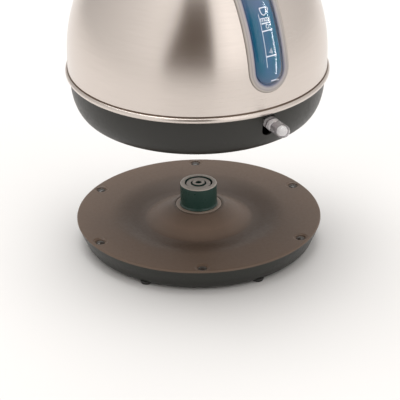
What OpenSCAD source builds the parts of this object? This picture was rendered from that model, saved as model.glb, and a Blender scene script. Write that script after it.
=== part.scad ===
// Dome electric kettle with a 360 degree power base.
// Millimetres, +Z up. The origin is on the table, under the centre of the base.
// The kettle is drawn lifted clear above its base, coaxial with the connector.
// +X is the side of the level window and the switch lever, -X is the spout side.

/* [Power base] */
// Radius of the base at its top rim
base_r = 93; // [84:1:100]
// Height of the flat top of the base above the table
base_h = 20; // [16:1:26]
// Angle of the first rim plug around the base
base_turn = 29; // [0:1:59]
// Radius of the connector pillar
pillar_r = 13.9; // [13.5:0.1:13.9]
// Height of the connector pillar above the flat top of the base
pillar_h = 26.2; // [24:0.1:26.2]

/* [Kettle] */
// Height of the kettle's foot rim above the seated position, as drawn
lift = 90; // [0:1:120]
// Radius of the straight lower wall of the steel body
body_r = 96; // [96:1:96]
// Radius of the curve of the dome
dome_r = 120; // [118:1:122]
// Radius of the lid opening
lid_r = 42; // [41:0.5:42]

/* [Handle] */
// Height of the centre of the handle hoop above the kettle's foot rim
hoop_z = 160; // [158:1:166]
// Radius of the handle hoop
hoop_r = 56; // [54:1:58]
// Radius of the grip
grip_r = 11; // [9:0.5:12]

/* [Level window] */
// Width of the window frame
window_w = 33; // [28:1:34]
// Height of the bottom of the window above the foot rim
window_z0 = 47.5; // [44:0.5:54]
// Height of the top of the window above the foot rim
window_z1 = 129; // [110:1:130]

/* [Switch lever] */
// Width of the lever
lever_w = 10; // [8:0.5:10]
// Radius from the kettle's axis to the tip of the lever
lever_tip = 116; // [108:1:118]
// Radius from the kettle's axis to the lever's pin
lever_pivot = 68; // [66:1:70]

/* [Hidden] */
fine = 120;
pip_r = base_r - 5.2;       // circle of the rim plugs
foot_r = base_r - 10.6;     // circle of the base feet
seat_z = base_h;            // the seated kettle's foot rim rests on the flat of the base
kz = seat_z + lift;         // foot rim of the kettle as drawn
lip_z = 30;                 // lower edge of the rolled lip, above the foot rim
arc_z = lip_z + 17;         // the straight wall ends and the dome begins
arc_x = body_r - dome_r;    // centre of the dome's curve, left of the axis
top_z = arc_z + sqrt(dome_r*dome_r - (lid_r - arc_x)*(lid_r - arc_x));
lever_z = 24.8;             // height of the lever above the foot rim
lid_top = top_z + 13.8;
collar_z = top_z + 0.4;     // the lid rests here
pil_top = base_h + pillar_h;
// side of the base tray, from its floor up to the joint with the cover
tray_out = [[80, 0.9], [82.6, 1.0], [84.3, 1.7], [85.6, 2.7], [86.9, 4.1], [87.9, 6], [88.8, 8.2], [89.8, 10.5], [90.8, 12.8], [91.6, 15], [92.2, 17], [92.4, 18.4]];
tray_in = [[91.2, 18.4], [91.2, 16.6], [89.9, 16.2], [89, 14.2], [88, 11.9], [87, 9.6], [86, 7.4], [85.1, 5.6], [84.1, 4.2], [82.6, 3.2], [80, 2.9]];

module at_kettle() { translate([0, 0, kz]) children(); }
module ring_of(n, r, a0 = 0) { for (i = [0:n-1]) rotate([0, 0, a0 + i*360/n]) translate([r, 0, 0]) children(); }
module tube(r1, r2, z0, z1) { translate([0, 0, z0]) difference() {
    cylinder(r = r2, h = z1 - z0, $fn = fine); translate([0, 0, -1]) cylinder(r = r1, h = z1 - z0 + 2, $fn = fine); } }

// Solid inside the body's outer surface moved out by d, from z0 to z1, above the foot rim
module dome_2d(d, z0, z1) {
    intersection() {
        union() {
            translate([0, lip_z]) square([body_r + d, arc_z - lip_z + 0.01]);
            intersection() {
                translate([arc_x, arc_z]) circle(r = dome_r + d, $fn = 240);
                translate([0, arc_z]) square([150, 140]);
            }
        }
        translate([0, z0]) square([150, z1 - z0]);
    }
}
module dome_solid(d, z0, z1) { rotate_extrude($fn = fine) dome_2d(d, z0, z1); }
module dome_shell(d0, d1, z0, z1, a = 30) {
    rotate_extrude(angle = 2*a, start = -a, $fn = fine)
        difference() { dome_2d(d1, z0, z1); dome_2d(d0, z0 - 1, z1 + 1); }
}
// Upright rounded slot shape, pushed out along +X
module slot_prism(w, z0, z1, x0 = 40, x1 = 110) {
    translate([x0, 0, 0]) rotate([90, 0, 90]) linear_extrude(x1 - x0) union() {
        translate([0, z0 + w/2]) circle(d = w, $fn = 96);
        translate([0, z1 - w/2]) circle(d = w, $fn = 96);
        translate([-w/2, z0 + w/2]) square([w, z1 - z0 - w]);
    }
}
function ell(cx, cz, a, b, n) = [for (i = [0:n]) [cx + a*cos(90*i/n), cz - b*sin(90*i/n)]];
function ell_back(cx, cz, a, b, n) = [for (i = [n:-1:0]) [cx + a*cos(90*i/n), cz - b*sin(90*i/n)]];

// ---------- power base ----------
module base_cover() {
    n = 12;
    // flat rim, soft trough, crease, then the raised hub that ends in a flat ring round the pillar
    top = concat([[base_r, 18.4], [base_r, 18.9]],
        [for (i = [0:5]) [base_r - 1.1 + 1.1*cos(18*i), base_h - 1.1 + 1.1*sin(18*i)]],
        [for (i = [0:n]) [66 - 23*i/n, base_h - 1.75*(1 - cos(180*i/n))]],
        [[41, base_h - 3.6], [39.6, base_h - 3.2], [20.6, base_h + 7.1], [19.6, base_h + 7.8], [18.6, base_h + 8],
         [17.9, base_h + 8], [17.9, base_h + 7.3], [17.5, base_h + 7.3], [17.5, base_h + 8], [14.3, base_h + 8]]);
    under = concat([[14.3, base_h + 5.4], [17.6, base_h + 5.4], [19.7, base_h + 4.8], [38.4, base_h - 5.3], [40.4, base_h - 6]],
        [for (i = [n:-1:0]) [65.6 - 23*i/n, base_h - 2.3 - 1.75*(1 - cos(180*i/n))]],
        [[88.5, base_h - 2.3], [89.8, 17.2], [89.8, 16.6], [91.1, 16.6], [91.1, 18.4]]);
    color([0.39, 0.35, 0.30]) difference() {
        union() {
            rotate_extrude($fn = fine) polygon(concat(top, under));
            ring_of(3, 62, base_turn + 30) translate([0, 0, 10]) cylinder(r = 4, h = base_h - 10 - 1.6, $fn = 40);
            ring_of(6, pip_r, base_turn) translate([-1.4, 0, base_h - 3.6]) cylinder(r = 4.6, h = 3, $fn = 48);
        }
        // dished seats of the plugs
        ring_of(6, pip_r - 1.3, base_turn) translate([0, 0, base_h - 0.35]) cylinder(r = 5.6, h = 3, $fn = 64);
        ring_of(6, pip_r - 1.3, base_turn) {
            translate([0, 0, base_h - 1.4]) cylinder(r = 3.8, h = 3, $fn = 48);
            translate([0, 0, base_h - 5]) cylinder(r = 1.5, h = 6, $fn = 36);
        }
        ring_of(3, 62, base_turn + 30) translate([0, 0, 8]) cylinder(r = 1.3, h = 9.5, $fn = 36);
    }
}
module base_tray() {
    color([0.17, 0.19, 0.18]) difference() {
        union() {
            rotate_extrude($fn = fine) polygon(concat([[0, 0.9]], tray_out, tray_in, [[0, 2.9]]));
            ring_of(3, 62, base_turn + 30) translate([0, 0, 2]) cylinder(r = 5.6, h = 8, $fn = 40);
            // pockets that hold the feet
            intersection() {
                ring_of(6, foot_r - 0.4, base_turn + 30) translate([0, 0, 1.2]) cylinder(r = 6, h = 3.4, $fn = 40);
                rotate_extrude($fn = fine) polygon(concat([[0, 0.9]], tray_out, [[0, 18.4]]));
            }
            rotate([0, 0, base_turn + 120]) translate([66, -8, 2.6]) cube([14, 16, 11.4]);
            tube(16.5, 19, 2.6, 8);
            translate([0, 0, 1.2]) cylinder(r = 9, h = 2.6, $fn = 64);   // pocket of the centre foot
        }
        ring_of(6, foot_r, base_turn + 30) translate([0, 0, 0]) cylinder(r = 4.5, h = 2.6, $fn = 48);
        cylinder(r = 6.5, h = 2.2, $fn = 64);
        ring_of(3, 62, base_turn + 30) {
            translate([0, 0, 0]) cylinder(r = 3.4, h = 6, $fn = 40);
            translate([0, 0, 5]) cylinder(r = 1.7, h = 6, $fn = 36);
        }
        rotate([0, 0, base_turn + 120]) translate([60, 0, 9]) rotate([0, 90, 0]) cylinder(r = 4.2, h = 40, $fn = 48);
    }
}
module rim_plugs() {
    color([0.2, 0.2, 0.19]) ring_of(6, pip_r - 1.3, base_turn) {
        translate([0, 0, base_h - 3.4]) cylinder(r = 1.5, h = 2.4, $fn = 36);
        intersection() {
            translate([0, 0, base_h - 1.4]) cylinder(r = 3.2, h = 2, $fn = 48);
            translate([0, 0, base_h - 0.25 - 6.2]) sphere(r = 6.2, $fn = 64);
        }
    }
}
module base_feet() {
    color([0.15, 0.15, 0.15]) {
        ring_of(6, foot_r, base_turn + 30) {
            cylinder(r = 4.1, h = 0.6, $fn = 48);
            translate([0, 0, 0.6]) cylinder(r = 4.5, h = 2, $fn = 48);
        }
        // the centre foot takes the push of the connector when the kettle is set down
        cylinder(r = 6, h = 0.6, $fn = 64);
        translate([0, 0, 0.6]) cylinder(r = 6.5, h = 1.6, $fn = 64);
    }
}
module screw(head_r, head_h, r, l) { cylinder(r = head_r, h = head_h, $fn = 36); cylinder(r = r, h = head_h + l, $fn = 36); }
module base_screws() {
    color([0.7, 0.7, 0.72]) ring_of(3, 62, base_turn + 30) translate([0, 0, 4.2]) difference() {
        union() { cylinder(r = 3, h = 1.8, $fn = 36); cylinder(r = 1.3, h = 12.4, $fn = 36); }
        translate([-2.5, -0.4, -1]) cube([5, 0.8, 1.7]);
    }
}
module connector_pillar() {
    n = 8;
    color([0.13, 0.20, 0.18]) difference() {
        // held by a flange under the hub's ring; a small bead seals it above the ring
        rotate_extrude($fn = fine) polygon(concat(
            [[0, 12], [14.1, 12], [14.1, base_h + 3.4], [17, base_h + 3.4], [17, base_h + 5.4], [14.1, base_h + 5.4], [14.1, base_h + 8.1],
             [14.5, base_h + 8.4], [14.5, base_h + 8.9], [pillar_r, base_h + 9.4]],
            [for (i = [0:n]) [pillar_r - 1.4 + 1.4*cos(90*i/n), pil_top - 1.2 + 1.2*sin(90*i/n)]],
            [[0, pil_top]]));
        tube(9.3, 10.5, pil_top - 15.5, pil_top + 5);
        tube(4.7, 5.9, pil_top - 13.5, pil_top + 5);
        translate([0, 0, pil_top - 13.5]) cylinder(r = 2.4, h = 20, $fn = 48);
        // dished top between the two slots
        tube(5.5, 9.8, pil_top - 0.9, pil_top + 5);
    }
}
module live_contact() {
    color([0.8, 0.62, 0.3]) tube(1.9, 2.4, pil_top - 13.5, pil_top - 4);
}
module neutral_contact() {
    color([0.8, 0.62, 0.3]) tube(10.25, 10.5, pil_top - 12.6, pil_top - 4);
}
module earth_contact() {
    color([0.8, 0.62, 0.3]) tube(4.7, 5, pil_top - 13.5, pil_top - 4);
}
module cord_gland() {
    color([0.12, 0.12, 0.12]) rotate([0, 0, base_turn + 120]) difference() {
        union() {
            translate([66, 0, 9]) rotate([0, 90, 0]) cylinder(r = 4.2, h = 24, $fn = 48);
            difference() {
                translate([80, 0, 9]) rotate([0, 90, 0]) cylinder(r = 6.2, h = 12, $fn = 48);
                rotate_extrude(angle = 40, start = -20, $fn = fine) polygon(concat([[0, 0.9]], tray_out, [[0, 18.4]]));
            }
            translate([92, 0, 9]) rotate([0, 90, 0]) cylinder(r1 = 6.2, r2 = 5.2, h = 1.6, $fn = 48);
        }
        translate([60, 0, 9]) rotate([0, 90, 0]) cylinder(r = 2.9, h = 60, $fn = 48);
    }
}
module shutter_ring() {
    color([0.75, 0.73, 0.7]) tube(9.4, 10.15, pil_top - 15.5, pil_top - 13.2);
}

// ---------- kettle body ----------
module spout_cone(d) {
    translate([-56, 0, 88]) rotate([0, -42, 0]) cylinder(r1 = 31 + d, r2 = 7 + d, h = 74, $fn = fine);
}
module steel_body() {
    color([0.78, 0.76, 0.73]) at_kettle() difference() {
        rotate_extrude($fn = fine) union() {
            difference() { dome_2d(0, lip_z + 2.2, 170); dome_2d(-0.8, lip_z, 170); translate([-1, 100]) square([lid_r + 1, 80]); }
            translate([body_r - 0.4, lip_z + 2.2]) circle(r = 2.2, $fn = 48);
        }
        slot_prism(window_w, window_z0, window_z1);
        intersection() { spout_cone(-1); translate([-150, -60, 96]) cube([120, 120, 43]); }
        for (s = [-1, 1]) translate([s*51.6, 0, 100]) cylinder(r = 2, h = 60, $fn = 36);
    }
}
module spout() {
    color([0.78, 0.76, 0.73]) at_kettle() difference() {
        spout_cone(0);
        spout_cone(-1);
        translate([-150, -60, 139]) cube([160, 120, 80]);
        dome_solid(0, 30, 170);
        translate([-55, -60, 0]) cube([120, 120, 200]);
    }
}
module floor_plate() {
    color([0.7, 0.7, 0.7]) at_kettle() difference() {
        translate([0, 0, 36]) cylinder(r = body_r - 0.8, h = 0.9, $fn = fine);
        rotate([0, 0, 40]) translate([72, 0, 30]) cylinder(r = 5, h = 10, $fn = 48);
    }
}
module floor_gasket() { color([0.55, 0.3, 0.25]) at_kettle() tube(90.9, 93.2, 34.8, 36); }
module heat_spreader() {
    color([0.75, 0.75, 0.76]) at_kettle() {
        translate([0, 0, 33.5]) cylinder(r = 64, h = 2.5, $fn = fine);
        // studs that carry the control
        for (s = [-1, 1]) translate([-14, s*20, 27]) cylinder(r = 1.3, h = 7, $fn = 36);
        for (s = [-1, 1]) translate([-14, s*20, 31]) cylinder(r = 3, h = 2.5, $fn = 36);
    }
}
module heating_element() {
    color([0.6, 0.6, 0.58]) at_kettle() rotate_extrude(angle = 300, start = 210, $fn = fine)
        intersection() { translate([52, 30.3]) circle(r = 4, $fn = 48); translate([40, 20]) square([30, 13.5]); }
}
module element_terminals() {
    color([0.8, 0.62, 0.3]) at_kettle() for (a = [149, 211]) rotate([0, 0, a]) {
        translate([52, 0, 20]) cylinder(r = 1.6, h = 6.2, $fn = 36);
        translate([51.6, -3, 14]) cube([0.8, 6, 6.2]);
    }
}
module skirt() {
    n = 24;
    color([0.20, 0.20, 0.19]) at_kettle() difference() {
        union() {
            rotate_extrude($fn = fine) polygon(concat(
                [[93.2, 34.8], [93.2, 31], [94.3, 30.2]], ell(82.3, 27, 12, 27, n),
                [[80.4, 0], [80.4, 2.3]], ell_back(80.4, 27, 11.5, 24.7, n), [[90.9, 29], [90.9, 34.8]]));
            ring_of(3, 76, 60) translate([0, 0, 3.4]) cylinder(r = 4.5, h = 16, $fn = 40);
            ring_of(3, 83, 60) translate([-6, -1.2, 5]) cube([10, 2.4, 14]);
        }
        slot_prism(lever_w + 0.9, 12.3, 29.6, 78, 110);
        ring_of(3, 76, 60) translate([0, 0, 2]) cylinder(r = 1.3, h = 12, $fn = 36);
    }
}
module underplate() {
    color([0.16, 0.16, 0.16]) at_kettle() difference() {
        rotate_extrude($fn = fine) polygon([[80.4, 1.2], [80.4, 3.4], [46, 3.4], [30, 10.4], [21.5, 10.4], [21.5, 8.4], [27, 8.4], [44.5, 1.2]]);
        ring_of(3, 76, 60) { translate([0, 0, 0]) cylinder(r = 1.7, h = 8, $fn = 36); translate([0, 0, 0]) cylinder(r = 3.2, h = 1.9, $fn = 36); }
        ring_of(8, 66, 22.5) translate([0, 0, 0]) cylinder(r = 1.5, h = 8, $fn = 24);
    }
}
module underplate_screws() {
    color([0.7, 0.7, 0.72]) at_kettle() ring_of(3, 76, 60) translate([0, 0, 0.5]) difference() {
        union() { cylinder(r = 2.9, h = 1.4, $fn = 36); cylinder(r = 1.3, h = 11, $fn = 36); }
        translate([-2.5, -0.4, -1]) cube([5, 0.8, 1.6]);
    }
}
module control_unit() {
    color([0.85, 0.84, 0.8]) at_kettle() difference() {
        union() {
            translate([0, 0, 10.4]) cylinder(r = 30, h = 20.6, $fn = fine);
            rotate([0, 0, 40]) translate([26, -10, 5]) cube([57, 20, 6]);
            translate([28, -12, 12]) cube([10, 24, 14]);
            translate([26, -14, 12]) cube([22, 3, 14]);
            translate([26, 11, 12]) cube([22, 3, 14]);
        }
        translate([0, 0, 0]) cylinder(r = 14.6, h = 27, $fn = fine);
        translate([0, 0, 20]) cylinder(r = 1.5, h = 20, $fn = 36);
        translate([0, 0, -2]) rotate_extrude($fn = fine) polygon([[0, 5], [46, 5.4], [30, 12.4], [0, 12.4]]);
        translate([44, -20, 19]) rotate([-90, 0, 0]) cylinder(r = 1.5, h = 40, $fn = 36);
        for (s = [-1, 1]) translate([-14, s*20, 26]) cylinder(r = 1.3, h = 10, $fn = 36);
    }
}
module socket_pin() { color([0.8, 0.62, 0.3]) at_kettle() translate([0, 0, 14]) cylinder(r = 1.5, h = 18.4, $fn = 36); }
module socket_rings() { color([0.8, 0.62, 0.3]) at_kettle() { tube(9.55, 10.05, 14.5, 27); tube(5.15, 5.65, 14.5, 27); } }
module bimetal_disc() { color([0.75, 0.7, 0.62]) at_kettle() rotate([0, 0, 40]) translate([72, 0, 11]) cylinder(r = 9, h = 0.7, $fn = 60); }
module steam_tube() {
    color([0.85, 0.85, 0.85]) at_kettle() rotate([0, 0, 40]) translate([72, 0, 0]) difference() {
        union() { translate([0, 0, 13.5]) cylinder(r = 5, h = 94.5, $fn = 48); translate([0, 0, 36.9]) cylinder(r = 8, h = 3, $fn = 48); }
        translate([0, 0, 0]) cylinder(r = 3.9, h = 120, $fn = 48);
    }
}
module indicator_lamp() {
    color([0.9, 0.6, 0.3]) at_kettle() {
        translate([79, -14, 9]) rotate([-90, 0, 0]) cylinder(r = 2.4, h = 9, $fn = 40);
        translate([76, -19, 3.4]) cube([6, 5, 8]);
    }
}
module lever_bracket() {
    color([0.3, 0.3, 0.3]) at_kettle() difference() {
        union() {
            for (s = [-1, 1]) translate([lever_pivot - 5, s*7.5 - 1.5, 3.4]) cube([10, 3, 25.5]);
            translate([lever_pivot - 8, -9, 3.4]) cube([3, 18, 8]);
        }
        translate([lever_pivot, -20, lever_z]) rotate([-90, 0, 0]) cylinder(r = 1.5, h = 40, $fn = 36);
    }
}
module lever_pin() { color([0.7, 0.7, 0.72]) at_kettle() translate([lever_pivot, -9.6, lever_z]) rotate([-90, 0, 0]) cylinder(r = 1.5, h = 19.2, $fn = 36); }
module switch_lever() {
    w = lever_w; h = lever_w - 0.8;
    color([0.85, 0.86, 0.86]) at_kettle() translate([lever_pivot, 0, lever_z]) difference() {
        union() {
            // rounded clear bar, drooping slightly, with a domed tip
            rotate([0, 3, 0]) {
                translate([4, 0, 0]) rotate([0, 90, 0]) intersection() {
                    cylinder(d = w, h = lever_tip - lever_pivot - 4 - 4.6, $fn = 64);
                    translate([-h/2, -w/2, -1]) cube([h, w, 80]);
                }
                translate([lever_tip - lever_pivot - 4.6, 0, 0]) intersection() {
                    sphere(d = w, $fn = 64);
                    translate([-w, -w, -h/2]) cube([2*w, 2*w, h]);
                }
            }
            rotate([90, 0, 0]) translate([0, 0, -5.4]) cylinder(r = 4, h = 10.8, $fn = 48);
            translate([-8.5, -3, -2.6]) cube([14, 6, 5.2]);
        }
        rotate([90, 0, 0]) translate([0, 0, -10]) cylinder(r = 1.55, h = 20, $fn = 36);
    }
}
module trip_rocker() {
    color([0.8, 0.3, 0.2]) at_kettle() translate([44, 0, 19]) difference() {
        union() {
            rotate([90, 0, 0]) translate([0, 0, -9]) cylinder(r = 3.4, h = 18, $fn = 48);
            translate([0, -4, 0.2]) cube([14.5, 8, 1.9]);
            translate([11.5, -4, -2]) cube([3, 8, 4.1]);
        }
        rotate([90, 0, 0]) translate([0, 0, -20]) cylinder(r = 1.55, h = 40, $fn = 36);
    }
}
module rocker_pin() { color([0.7, 0.7, 0.72]) at_kettle() translate([44, -14.6, 19]) rotate([-90, 0, 0]) cylinder(r = 1.5, h = 29.2, $fn = 36); }

// ---------- level window ----------
module window_frame() {
    color([0.85, 0.87, 0.9]) at_kettle() difference() {
        union() {
            intersection() { dome_shell(-1.8, 0.9, 40, 140); slot_prism(window_w, window_z0, window_z1); }
            intersection() { dome_shell(-3, -1.8, 40, 140); slot_prism(window_w + 7, window_z0 - 3.5, window_z1 + 3.5); }
        }
        slot_prism(window_w - 10, window_z0 + 5, window_z1 - 5);
    }
}
module gauge_lens() {
    color([0.16, 0.40, 0.55]) at_kettle() intersection() {
        dome_shell(-3, 1.6, 40, 140);
        slot_prism(window_w - 10, window_z0 + 5, window_z1 - 5);
    }
}
module window_gasket() {
    color([0.7, 0.7, 0.68]) at_kettle() difference() {
        intersection() { dome_shell(-1.8, -0.8, 40, 140); slot_prism(window_w + 7, window_z0 - 3.5, window_z1 + 3.5); }
        slot_prism(window_w, window_z0, window_z1);
    }
}

// ---------- handle ----------
module hoop(a0, a1) {
    translate([0, 0, hoop_z]) rotate([90, 0, 0]) rotate_extrude(angle = a1 - a0, start = a0, $fn = fine) children();
}
module strap(a0, a1, b0, b1) {
    difference() {
        union() {
            hoop(a0, a1) translate([hoop_r - 2.5, -9]) square([5, 18]);
            hoop(b0, b1) translate([hoop_r - 2.5, -5.5]) square([5, 11]);
        }
        dome_solid(0, 30, 170);
    }
}
module handle_bracket_rear() {
    color([0.8, 0.8, 0.8]) at_kettle() difference() {
        strap(-24, 12, 11, 24);
        rotate([0, 0, 0]) translate([51.6, 0, 100]) cylinder(r = 1.5, h = 44, $fn = 36);
        translate([0, 0, hoop_z]) rotate([0, -19, 0]) translate([hoop_r - 10, 0, 0]) rotate([0, 90, 0]) cylinder(r = 1.6, h = 20, $fn = 36);
    }
}
module handle_bracket_front() {
    color([0.8, 0.8, 0.8]) at_kettle() difference() {
        mirror([1, 0, 0]) strap(-24, 12, 11, 24);
        translate([-51.6, 0, 100]) cylinder(r = 1.5, h = 44, $fn = 36);
        mirror([1, 0, 0]) translate([0, 0, hoop_z]) rotate([0, -19, 0]) translate([hoop_r - 10, 0, 0]) rotate([0, 90, 0]) cylinder(r = 1.6, h = 20, $fn = 36);
    }
}
module grip_2d(side) {
    difference() {
        intersection() {
            translate([hoop_r, 0]) circle(r = grip_r, $fn = 64);
            translate([side > 0 ? hoop_r : hoop_r - 20, -20]) square([20, 40]);
        }
        translate([hoop_r, 0]) circle(r = grip_r - 2.6, $fn = 64);
    }
}
module grip_screw_at() {
    for (m = [0, 1]) mirror([m, 0, 0]) translate([0, 0, hoop_z]) rotate([0, -19, 0]) translate([hoop_r, 0, 0]) rotate([0, 90, 0]) children();
}
module grip_caps(side) {
    for (m = [0, 1]) mirror([m, 0, 0]) hoop(12, 15) difference() {
        intersection() {
            translate([hoop_r, 0]) circle(r = grip_r - 2.5, $fn = 64);
            translate([side > 0 ? hoop_r : hoop_r - 20, -20]) square([20, 40]);
        }
        translate([hoop_r - 2.6, -5.6]) square([5.2, 11.2]);
    }
}
module handle_upper_shell() {
    color([0.12, 0.12, 0.12]) at_kettle() difference() {
        union() {
            hoop(12, 168) grip_2d(1);
            grip_caps(1);
            grip_screw_at() translate([0, 0, 2.5]) cylinder(r = 3.4, h = grip_r - 4, $fn = 36);
        }
        grip_screw_at() translate([0, 0, 0]) cylinder(r = 1.3, h = 8, $fn = 36);
    }
}
module handle_lower_shell() {
    color([0.12, 0.12, 0.12]) at_kettle() difference() {
        union() {
            hoop(12, 168) grip_2d(-1);
            grip_caps(-1);
            grip_screw_at() translate([0, 0, -grip_r + 1.4]) cylinder(r = 4, h = grip_r - 3.9, $fn = 36);
        }
        grip_screw_at() translate([0, 0, -grip_r - 4]) cylinder(r = 2.9, h = 6.6, $fn = 36);
        grip_screw_at() translate([0, 0, -grip_r - 4]) cylinder(r = 1.6, h = 20, $fn = 36);
    }
}
module handle_screws() {
    color([0.7, 0.7, 0.72]) at_kettle() grip_screw_at() translate([0, 0, -grip_r + 1]) difference() {
        union() { cylinder(r = 2.7, h = 1.6, $fn = 36); cylinder(r = 1.3, h = 16.6, $fn = 36); }
        translate([-2.4, -0.35, -1]) cube([4.8, 0.7, 1.6]);
    }
    color([0.7, 0.7, 0.72]) at_kettle() for (s = [-1, 1]) translate([s*51.6, 0, 0]) {
        translate([0, 0, top_z - 12]) cylinder(r = 1.5, h = 8, $fn = 36);
        intersection() { translate([0, 0, top_z - 14]) cylinder(r = 3.2, h = 14, $fn = 36); translate([-s*51.6, 0, 0]) dome_solid(-0.8, 100, 160); }
    }
}

// ---------- lid ----------
module lid_collar() { color([0.6, 0.6, 0.6]) at_kettle() tube(38.6, lid_r, top_z - 8, collar_z); }
module lid_shell() {
    rr = (44.5*44.5 + 11.4*11.4)/(2*11.4);
    color([0.78, 0.76, 0.73]) at_kettle() difference() {
        rotate_extrude($fn = fine) union() {
            intersection() {
                difference() {
                    translate([0, lid_top - rr]) circle(r = rr, $fn = 240);
                    translate([0, lid_top - rr]) circle(r = rr - 0.9, $fn = 240);
                }
                translate([0, collar_z]) square([44.5, 30]);
            }
            translate([43.6, collar_z]) square([0.9, 2.3]);
        }
        translate([0, 0, lid_top - 10]) cylinder(r = 1.5, h = 20, $fn = 36);
    }
}
module lid_liner() {
    color([0.25, 0.25, 0.25]) at_kettle() difference() {
        rotate_extrude($fn = fine) polygon([[0, top_z - 7.2], [36, top_z - 7.2], [36, top_z - 4.8], [35, top_z - 4.8], [35, top_z - 2.2], [36, top_z - 2.2],
            [36, collar_z], [43.6, collar_z], [43.6, collar_z + 1.5], [34, collar_z + 1.5], [33, top_z - 5.2],
            [5, top_z - 5.2], [5, lid_top - 1.4], [0, lid_top - 1.4]]);
        translate([0, 0, top_z - 20]) cylinder(r = 1.5, h = 60, $fn = 36);
    }
}
module lid_seal() {
    color([0.75, 0.75, 0.72]) at_kettle() rotate_extrude($fn = fine)
        polygon([[35, top_z - 4.8], [36.6, top_z - 4.8], [38.2, top_z - 3.5], [36.6, top_z - 2.2], [35, top_z - 2.2]]);
}
module lid_knob() {
    n = 10;
    color([0.12, 0.12, 0.12]) at_kettle() difference() {
        rotate_extrude($fn = 96) polygon(concat([[0, lid_top], [8, lid_top - 0.3], [6.8, lid_top + 1.6], [6.2, lid_top + 3.4], [7.2, lid_top + 5.4], [11.4, lid_top + 6.8]],
            [for (i = [0:n]) [9.5 + 4*cos(180*i/n/2 - 45 + 45*i/n*0), lid_top + 10.2 + 3.6*sin(90*i/n - 45)]],
            [[8, lid_top + 13.9], [0, lid_top + 14.6]]));
        intersection() {
            cylinder(r = 20, h = lid_top + 2, $fn = 64);
            translate([0, 0, lid_top - (44.5*44.5 + 11.4*11.4)/(2*11.4)]) sphere(r = (44.5*44.5 + 11.4*11.4)/(2*11.4), $fn = 240);
        }
        translate([0, 0, lid_top - 10]) cylinder(r = 1.5, h = 19, $fn = 36);
    }
}
module knob_screw() {
    color([0.7, 0.7, 0.72]) at_kettle() translate([0, 0, top_z - 8.8]) difference() {
        union() { cylinder(r = 3.2, h = 1.6, $fn = 36); cylinder(r = 1.5, h = 29.5, $fn = 36); }
        translate([-2.6, -0.4, -1]) cube([5.2, 0.8, 1.8]);
    }
}

// ---------- spout filter ----------
module filter_place() { translate([-65.5, 0, 110.2]) rotate([0, -42, 0]) children(); }
module filter_frame() {
    color([0.2, 0.2, 0.2]) at_kettle() intersection() {
        filter_place() difference() {
            translate([-19, -22, -4]) cube([38, 44, 14]);
            translate([-16, -19, -5]) cube([32, 38, 20]);
            translate([-17.2, -20.2, -0.2]) cube([34.4, 40.4, 0.5]);
        }
        dome_solid(-1.2, 60, 160);
    }
}
module filter_mesh() {
    color([0.6, 0.6, 0.6]) at_kettle() filter_place() translate([-17.2, -20.2, -0.2]) cube([34.4, 40.4, 0.5]);
}

base_cover();
base_tray();
rim_plugs();
base_feet();
base_screws();
connector_pillar();
live_contact();
neutral_contact();
earth_contact();
cord_gland();
shutter_ring();
steel_body();
spout();
floor_plate();
floor_gasket();
heat_spreader();
heating_element();
element_terminals();
skirt();
underplate();
underplate_screws();
control_unit();
socket_pin();
socket_rings();
bimetal_disc();
steam_tube();
indicator_lamp();
lever_bracket();
lever_pin();
switch_lever();
trip_rocker();
rocker_pin();
window_frame();
gauge_lens();
window_gasket();
lid_collar();
handle_bracket_rear();
handle_bracket_front();
handle_upper_shell();
handle_lower_shell();
handle_screws();
lid_shell();
lid_liner();
lid_seal();
lid_knob();
knob_screw();
filter_frame();
filter_mesh();
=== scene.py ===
import bpy, bmesh, math
from mathutils import Vector, Matrix


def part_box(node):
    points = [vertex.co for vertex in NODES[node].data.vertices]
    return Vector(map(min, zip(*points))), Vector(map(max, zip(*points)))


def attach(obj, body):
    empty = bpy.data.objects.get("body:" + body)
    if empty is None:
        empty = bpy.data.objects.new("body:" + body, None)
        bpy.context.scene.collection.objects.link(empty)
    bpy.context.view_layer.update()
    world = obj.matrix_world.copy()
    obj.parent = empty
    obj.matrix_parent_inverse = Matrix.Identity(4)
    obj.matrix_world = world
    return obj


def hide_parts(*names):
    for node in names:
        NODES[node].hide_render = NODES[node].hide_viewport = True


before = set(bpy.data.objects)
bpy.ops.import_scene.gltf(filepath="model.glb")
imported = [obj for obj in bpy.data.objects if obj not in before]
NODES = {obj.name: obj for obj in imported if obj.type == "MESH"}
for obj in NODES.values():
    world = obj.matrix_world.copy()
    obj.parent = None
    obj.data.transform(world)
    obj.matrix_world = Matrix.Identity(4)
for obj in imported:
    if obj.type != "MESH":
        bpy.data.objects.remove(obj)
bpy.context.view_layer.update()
SC = bpy.context.scene

# ------------------------------------------------------------------ camera
AZ, EL, DIST, FPX = 57.5, 27.5, 1.700, 2222.0
PX, PY = 198.7, 212.4            # where the centre of the base lands in a 400 x 400 frame
def back_dir(az, el):
    a, e = math.radians(az), math.radians(el)
    return Vector((math.sin(a)*math.cos(e), -math.cos(a)*math.cos(e), math.sin(e)))
STRIP = 36.0
cam_data = bpy.data.cameras.new("cam")
cam = bpy.data.objects.new("cam", cam_data)
SC.collection.objects.link(cam)
cam.location = Vector((0, 0, 0.020)) + back_dir(AZ, EL)*DIST
el2 = EL - math.degrees(math.atan((PY - 200)/FPX))
az2 = AZ + math.degrees(math.atan((PX - 200)/FPX)/math.cos(math.radians(EL)))
cam.rotation_mode = "QUATERNION"
cam.rotation_quaternion = (-back_dir(az2, el2)).to_track_quat("-Z", "Y") @ Matrix.Rotation(math.radians(-0.55), 3, "Z").to_quaternion()
cam_data.sensor_width = 36.0
cam_data.lens = FPX*36.0/400.0
cam_data.clip_start, cam_data.clip_end = 0.05, 50
SC.camera = cam

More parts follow.
